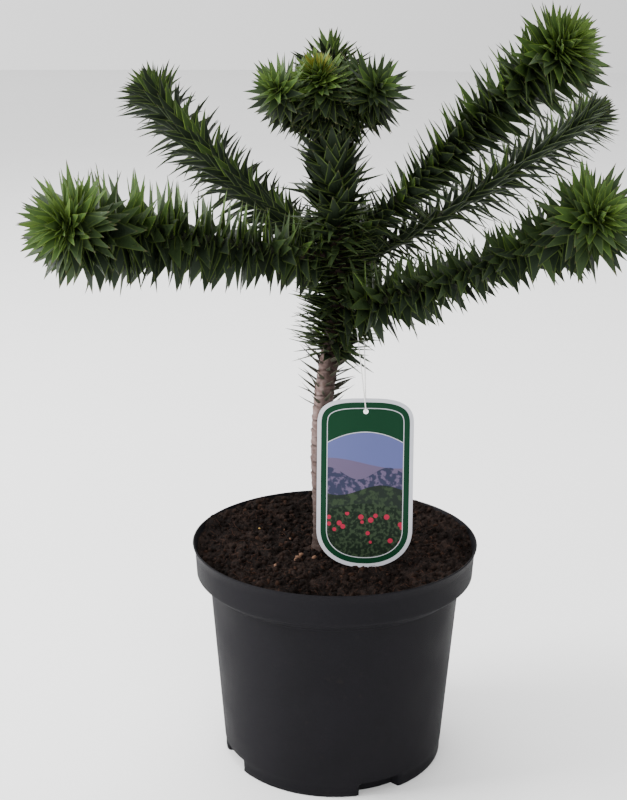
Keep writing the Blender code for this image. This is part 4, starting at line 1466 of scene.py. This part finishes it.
def printed_face():
    """The generic label picture, layer on layer from the sky to the frame and the border.

    Each wave has a level, a height, a count of cycles across the sheet, a phase and a colour.
    """
    finish = Finish("printed_label", 0.40, 0.10)
    sheet = finish.node("ShaderNodeUVMap")
    sheet.uv_map = "sheet"
    split = finish.node("ShaderNodeSeparateXYZ", Vector=sheet.outputs["UV"])
    u, v = split.outputs["X"], split.outputs["Y"]
    x_mm = finish.math("MULTIPLY", finish.math("SUBTRACT", u, 0.5), LABEL_WIDTH * 1000)
    v_mm = finish.math("MULTIPLY", v, LABEL_HEIGHT * 1000)
    trees = finish.mottle(260.0, 0.48, 0.62)
    grass = finish.mottle(420.0, 0.45, 0.6)
    waves = (
        (0.62, 0.030, 0.7, 1.0, HAZE),
        (0.56, 0.035, 1.6, 0.4, finish.blend(trees, FAR_HILL, HAZE)),
        (0.46, 0.030, 1.1, 3.2, finish.blend(trees, NEAR_HILL, MEADOW_LIGHT)),
        (0.36, 0.022, 0.9, 5.0, finish.blend(grass, MEADOW, MEADOW_LIGHT)),
    )
    picture = SKY
    for level, height, cycles, phase, colour in waves:
        angle = finish.math("ADD", finish.math("MULTIPLY", u, cycles * 2 * math.pi), phase)
        swing = finish.math("MULTIPLY", finish.math("SINE", angle), height)
        under = finish.math("LESS_THAN", v, finish.math("ADD", swing, level))
        picture = finish.blend(under, picture, colour)
    flat = finish.node("ShaderNodeCombineXYZ", X=x_mm, Y=v_mm).outputs["Vector"]
    cells = finish.node("ShaderNodeTexVoronoi", Vector=flat, Scale=1.0 / BLOSSOM_CELL_MM)
    blossom = finish.math("LESS_THAN", cells.outputs["Distance"], BLOSSOM_SIZE)
    for side, edge in zip(("GREATER_THAN", "LESS_THAN"), BLOSSOM_BAND):
        blossom = finish.math("MULTIPLY", blossom, finish.math(side, v, edge))
    picture = finish.blend(blossom, picture, BLOSSOM)
    arch = finish.math("MULTIPLY", finish.math("MULTIPLY", x_mm, x_mm), HEADING_ARCH)
    heading = finish.math("ADD", arch, HEADING_MM)
    rule = finish.math("SUBTRACT", heading, LINE_MM)
    for line, colour in ((rule, PAPER), (heading, FRAME_GREEN)):
        picture = finish.blend(finish.math("GREATER_THAN", v_mm, line), picture, colour)
    rim = finish.attribute("rim")
    for edge, colour in ((FRAME_MM + LINE_MM, PAPER), (FRAME_MM, FRAME_GREEN), (BORDER_MM, PAPER)):
        picture = finish.blend(finish.math("LESS_THAN", rim, edge), picture, colour)
    finish.colour(picture)
    finish.vary_roughness(finish.mottle(90.0), 0.38, 0.43)
    finish.relief(700.0, 0.00005, 0.4)
    return finish.material


def label_plastic():
    """The sheet's own white plastic, for its back and edge."""
    finish = Finish("label_plastic", 0.45, 0.5)
    finish.colour(finish.blend(finish.mottle(60.0), (0.62, 0.63, 0.64), (0.68, 0.69, 0.70)))
    finish.relief(800.0, 0.00006, 0.4)
    return finish.material


label = mesh_object("label_sheet", *flat_label(), [printed_face(), label_plastic()])
cut_hole(label)
faces = label.data.polygons
normals = np.empty(len(faces) * 3, np.float32)
faces.foreach_get("normal", normals)
unprinted = normals.reshape(-1, 3)[:, 1] > -0.5
faces.foreach_set("material_index", unprinted.astype(np.int32))
place_label(label)
finish_piece(label, "label", "hang_label", sharp=40)

# %% [markdown]
# ## The thread
#
# A white thread goes over the front right bough, down through the label's hole and back.
# Its surface is two twisted strands: the radius swells twice round the thread, and the
# swelling turns as it goes along.

# %% The tie
TIE_RADIUS = 0.0005
TIE_REACH = 0.0190
TIE_LOOP_RADIUS = 0.0014
TIE_LOOP_LIFT = 0.0008
TIE_GAP = 0.0006
TIE_ARC = 24
TIE_RUN = 150
TIE_COLUMNS = 10
TWIST_PITCH = 0.0022
TWIST_DEPTH = 0.22
STRAND_SHARE = 0.8
ASIDE = np.array([0.35, 0.9, 0.1])


def tie_line():
    """Half circles over the bough and under the hole's edge, joined by two straight runs."""
    bough = BOUGHS["right_front"]
    angle = math.radians(bough["azimuth"])
    crosswise = np.array([-math.sin(angle), math.cos(angle), 0.0])
    loop = LIMB_RADIUS + TIE_GAP + TIE_RADIUS
    hole = label_base + label_up * (LABEL_HOLE_HEIGHT + TIE_LOOP_LIFT)
    turn = np.linspace(0, math.pi, TIE_ARC)
    top = bough_line(bough, TIE_REACH) + loop * tilted(crosswise, UP, turn)
    bottom = hole + TIE_LOOP_RADIUS * tilted(label_out, -label_up, turn)
    front = straight(top[-1], bottom[0], TIE_RUN)[1:-1]
    behind = straight(bottom[-1], top[0], TIE_RUN)[1:-1]
    return np.concatenate([top, front, bottom, behind])


def twisted_thread(line):
    """Rings round a closed line, with a frame made from the tangent and a fixed direction."""
    tangent = unit(np.roll(line, -1, axis=0) - np.roll(line, 1, axis=0))
    first = square_to(tangent, ASIDE)
    turn = around(TIE_COLUMNS)
    twist = 2 * math.pi * travelled(line)[:, None] / TWIST_PITCH
    swell = 1 + TWIST_DEPTH * np.cos(2 * turn - twist)
    wheel = spokes(first, np.cross(tangent, first), turn)
    return line[:, None] + wheel * (TIE_RADIUS * STRAND_SHARE * swell)[..., None]


rings = twisted_thread(tie_line())
quads = grid_quads(len(rings) + 1, TIE_COLUMNS) % (len(rings) * TIE_COLUMNS)
white = plain("white_thread", (0.72, 0.72, 0.70), 0.7)
thread = mesh_object("label_thread", rings.reshape(-1, 3), [quads], [white])
finish_piece(thread, "tie", "label_tie", sharp=80)

# %% [markdown]
# ## Floor and light
#
# The picture has a white ground and soft, even light that comes a little more from the left.
# A wide pale floor, a bright world and three large area lamps give that, with no hard shadow.

# %% Floor, world and lamps
FLOOR_RADIUS = 14.0
FLOOR_BOTTOM = -0.02
FLOOR_TOP = -0.0001
BRIGHT_SIDE = 2.4
DARK_SIDE = 0.40
LIT_HEIGHT = 0.32
LAMPS = (
    ("key", (-2.3, -0.3, 1.5), 1.2, 105.0),
    ("fill", (0.7, -2.6, 2.0), 1.8, 40.0),
    ("top", (0.0, 1.6, 3.6), 3.0, 120.0),
)


def add_floor():
    """A round plate a little under the pot's foot, so that the foot stands on it."""
    rings = turned(FLOOR_RADIUS, [[FLOOR_BOTTOM], [FLOOR_TOP]], around(96))
    points, groups = closed_tube(rings)
    finish = Finish("pale_floor", 0.7, 0.2)
    finish.colour(finish.blend(finish.mottle(3.0), (0.985, 0.985, 0.985), (0.995, 0.995, 0.995)))
    mesh_object("floor", points, groups, [finish.material])


def add_light():
    """A white world and square lamps that look at the middle of the plant.

    The world's strength falls evenly from left to right, as in a room with one window side.
    """
    world = bpy.data.worlds.new("soft_white")
    world.use_nodes = True
    tree = world.node_tree
    background = tree.nodes["Background"]
    background.inputs["Color"].default_value = (1.0, 1.0, 1.0, 1.0)
    direction = add_node(tree, "ShaderNodeTexCoord").outputs["Generated"]
    split = add_node(tree, "ShaderNodeSeparateXYZ", Vector=direction)
    strength = ranged(tree, split.outputs["X"], (-1.0, 1.0), (BRIGHT_SIDE, DARK_SIDE))
    feed(strength, background.inputs["Strength"])
    bpy.context.scene.world = world
    target = Vector((0.0, 0.0, LIT_HEIGHT))
    for name, place, size, power in LAMPS:
        data = bpy.data.lights.new(name, "AREA")
        data.size = size
        data.energy = power
        lamp = bpy.data.objects.new(name, data)
        lamp.location = place
        lamp.rotation_euler = (target - Vector(place)).to_track_quat("-Z", "Y").to_euler()
        bpy.context.scene.collection.objects.link(lamp)


add_floor()
add_light()
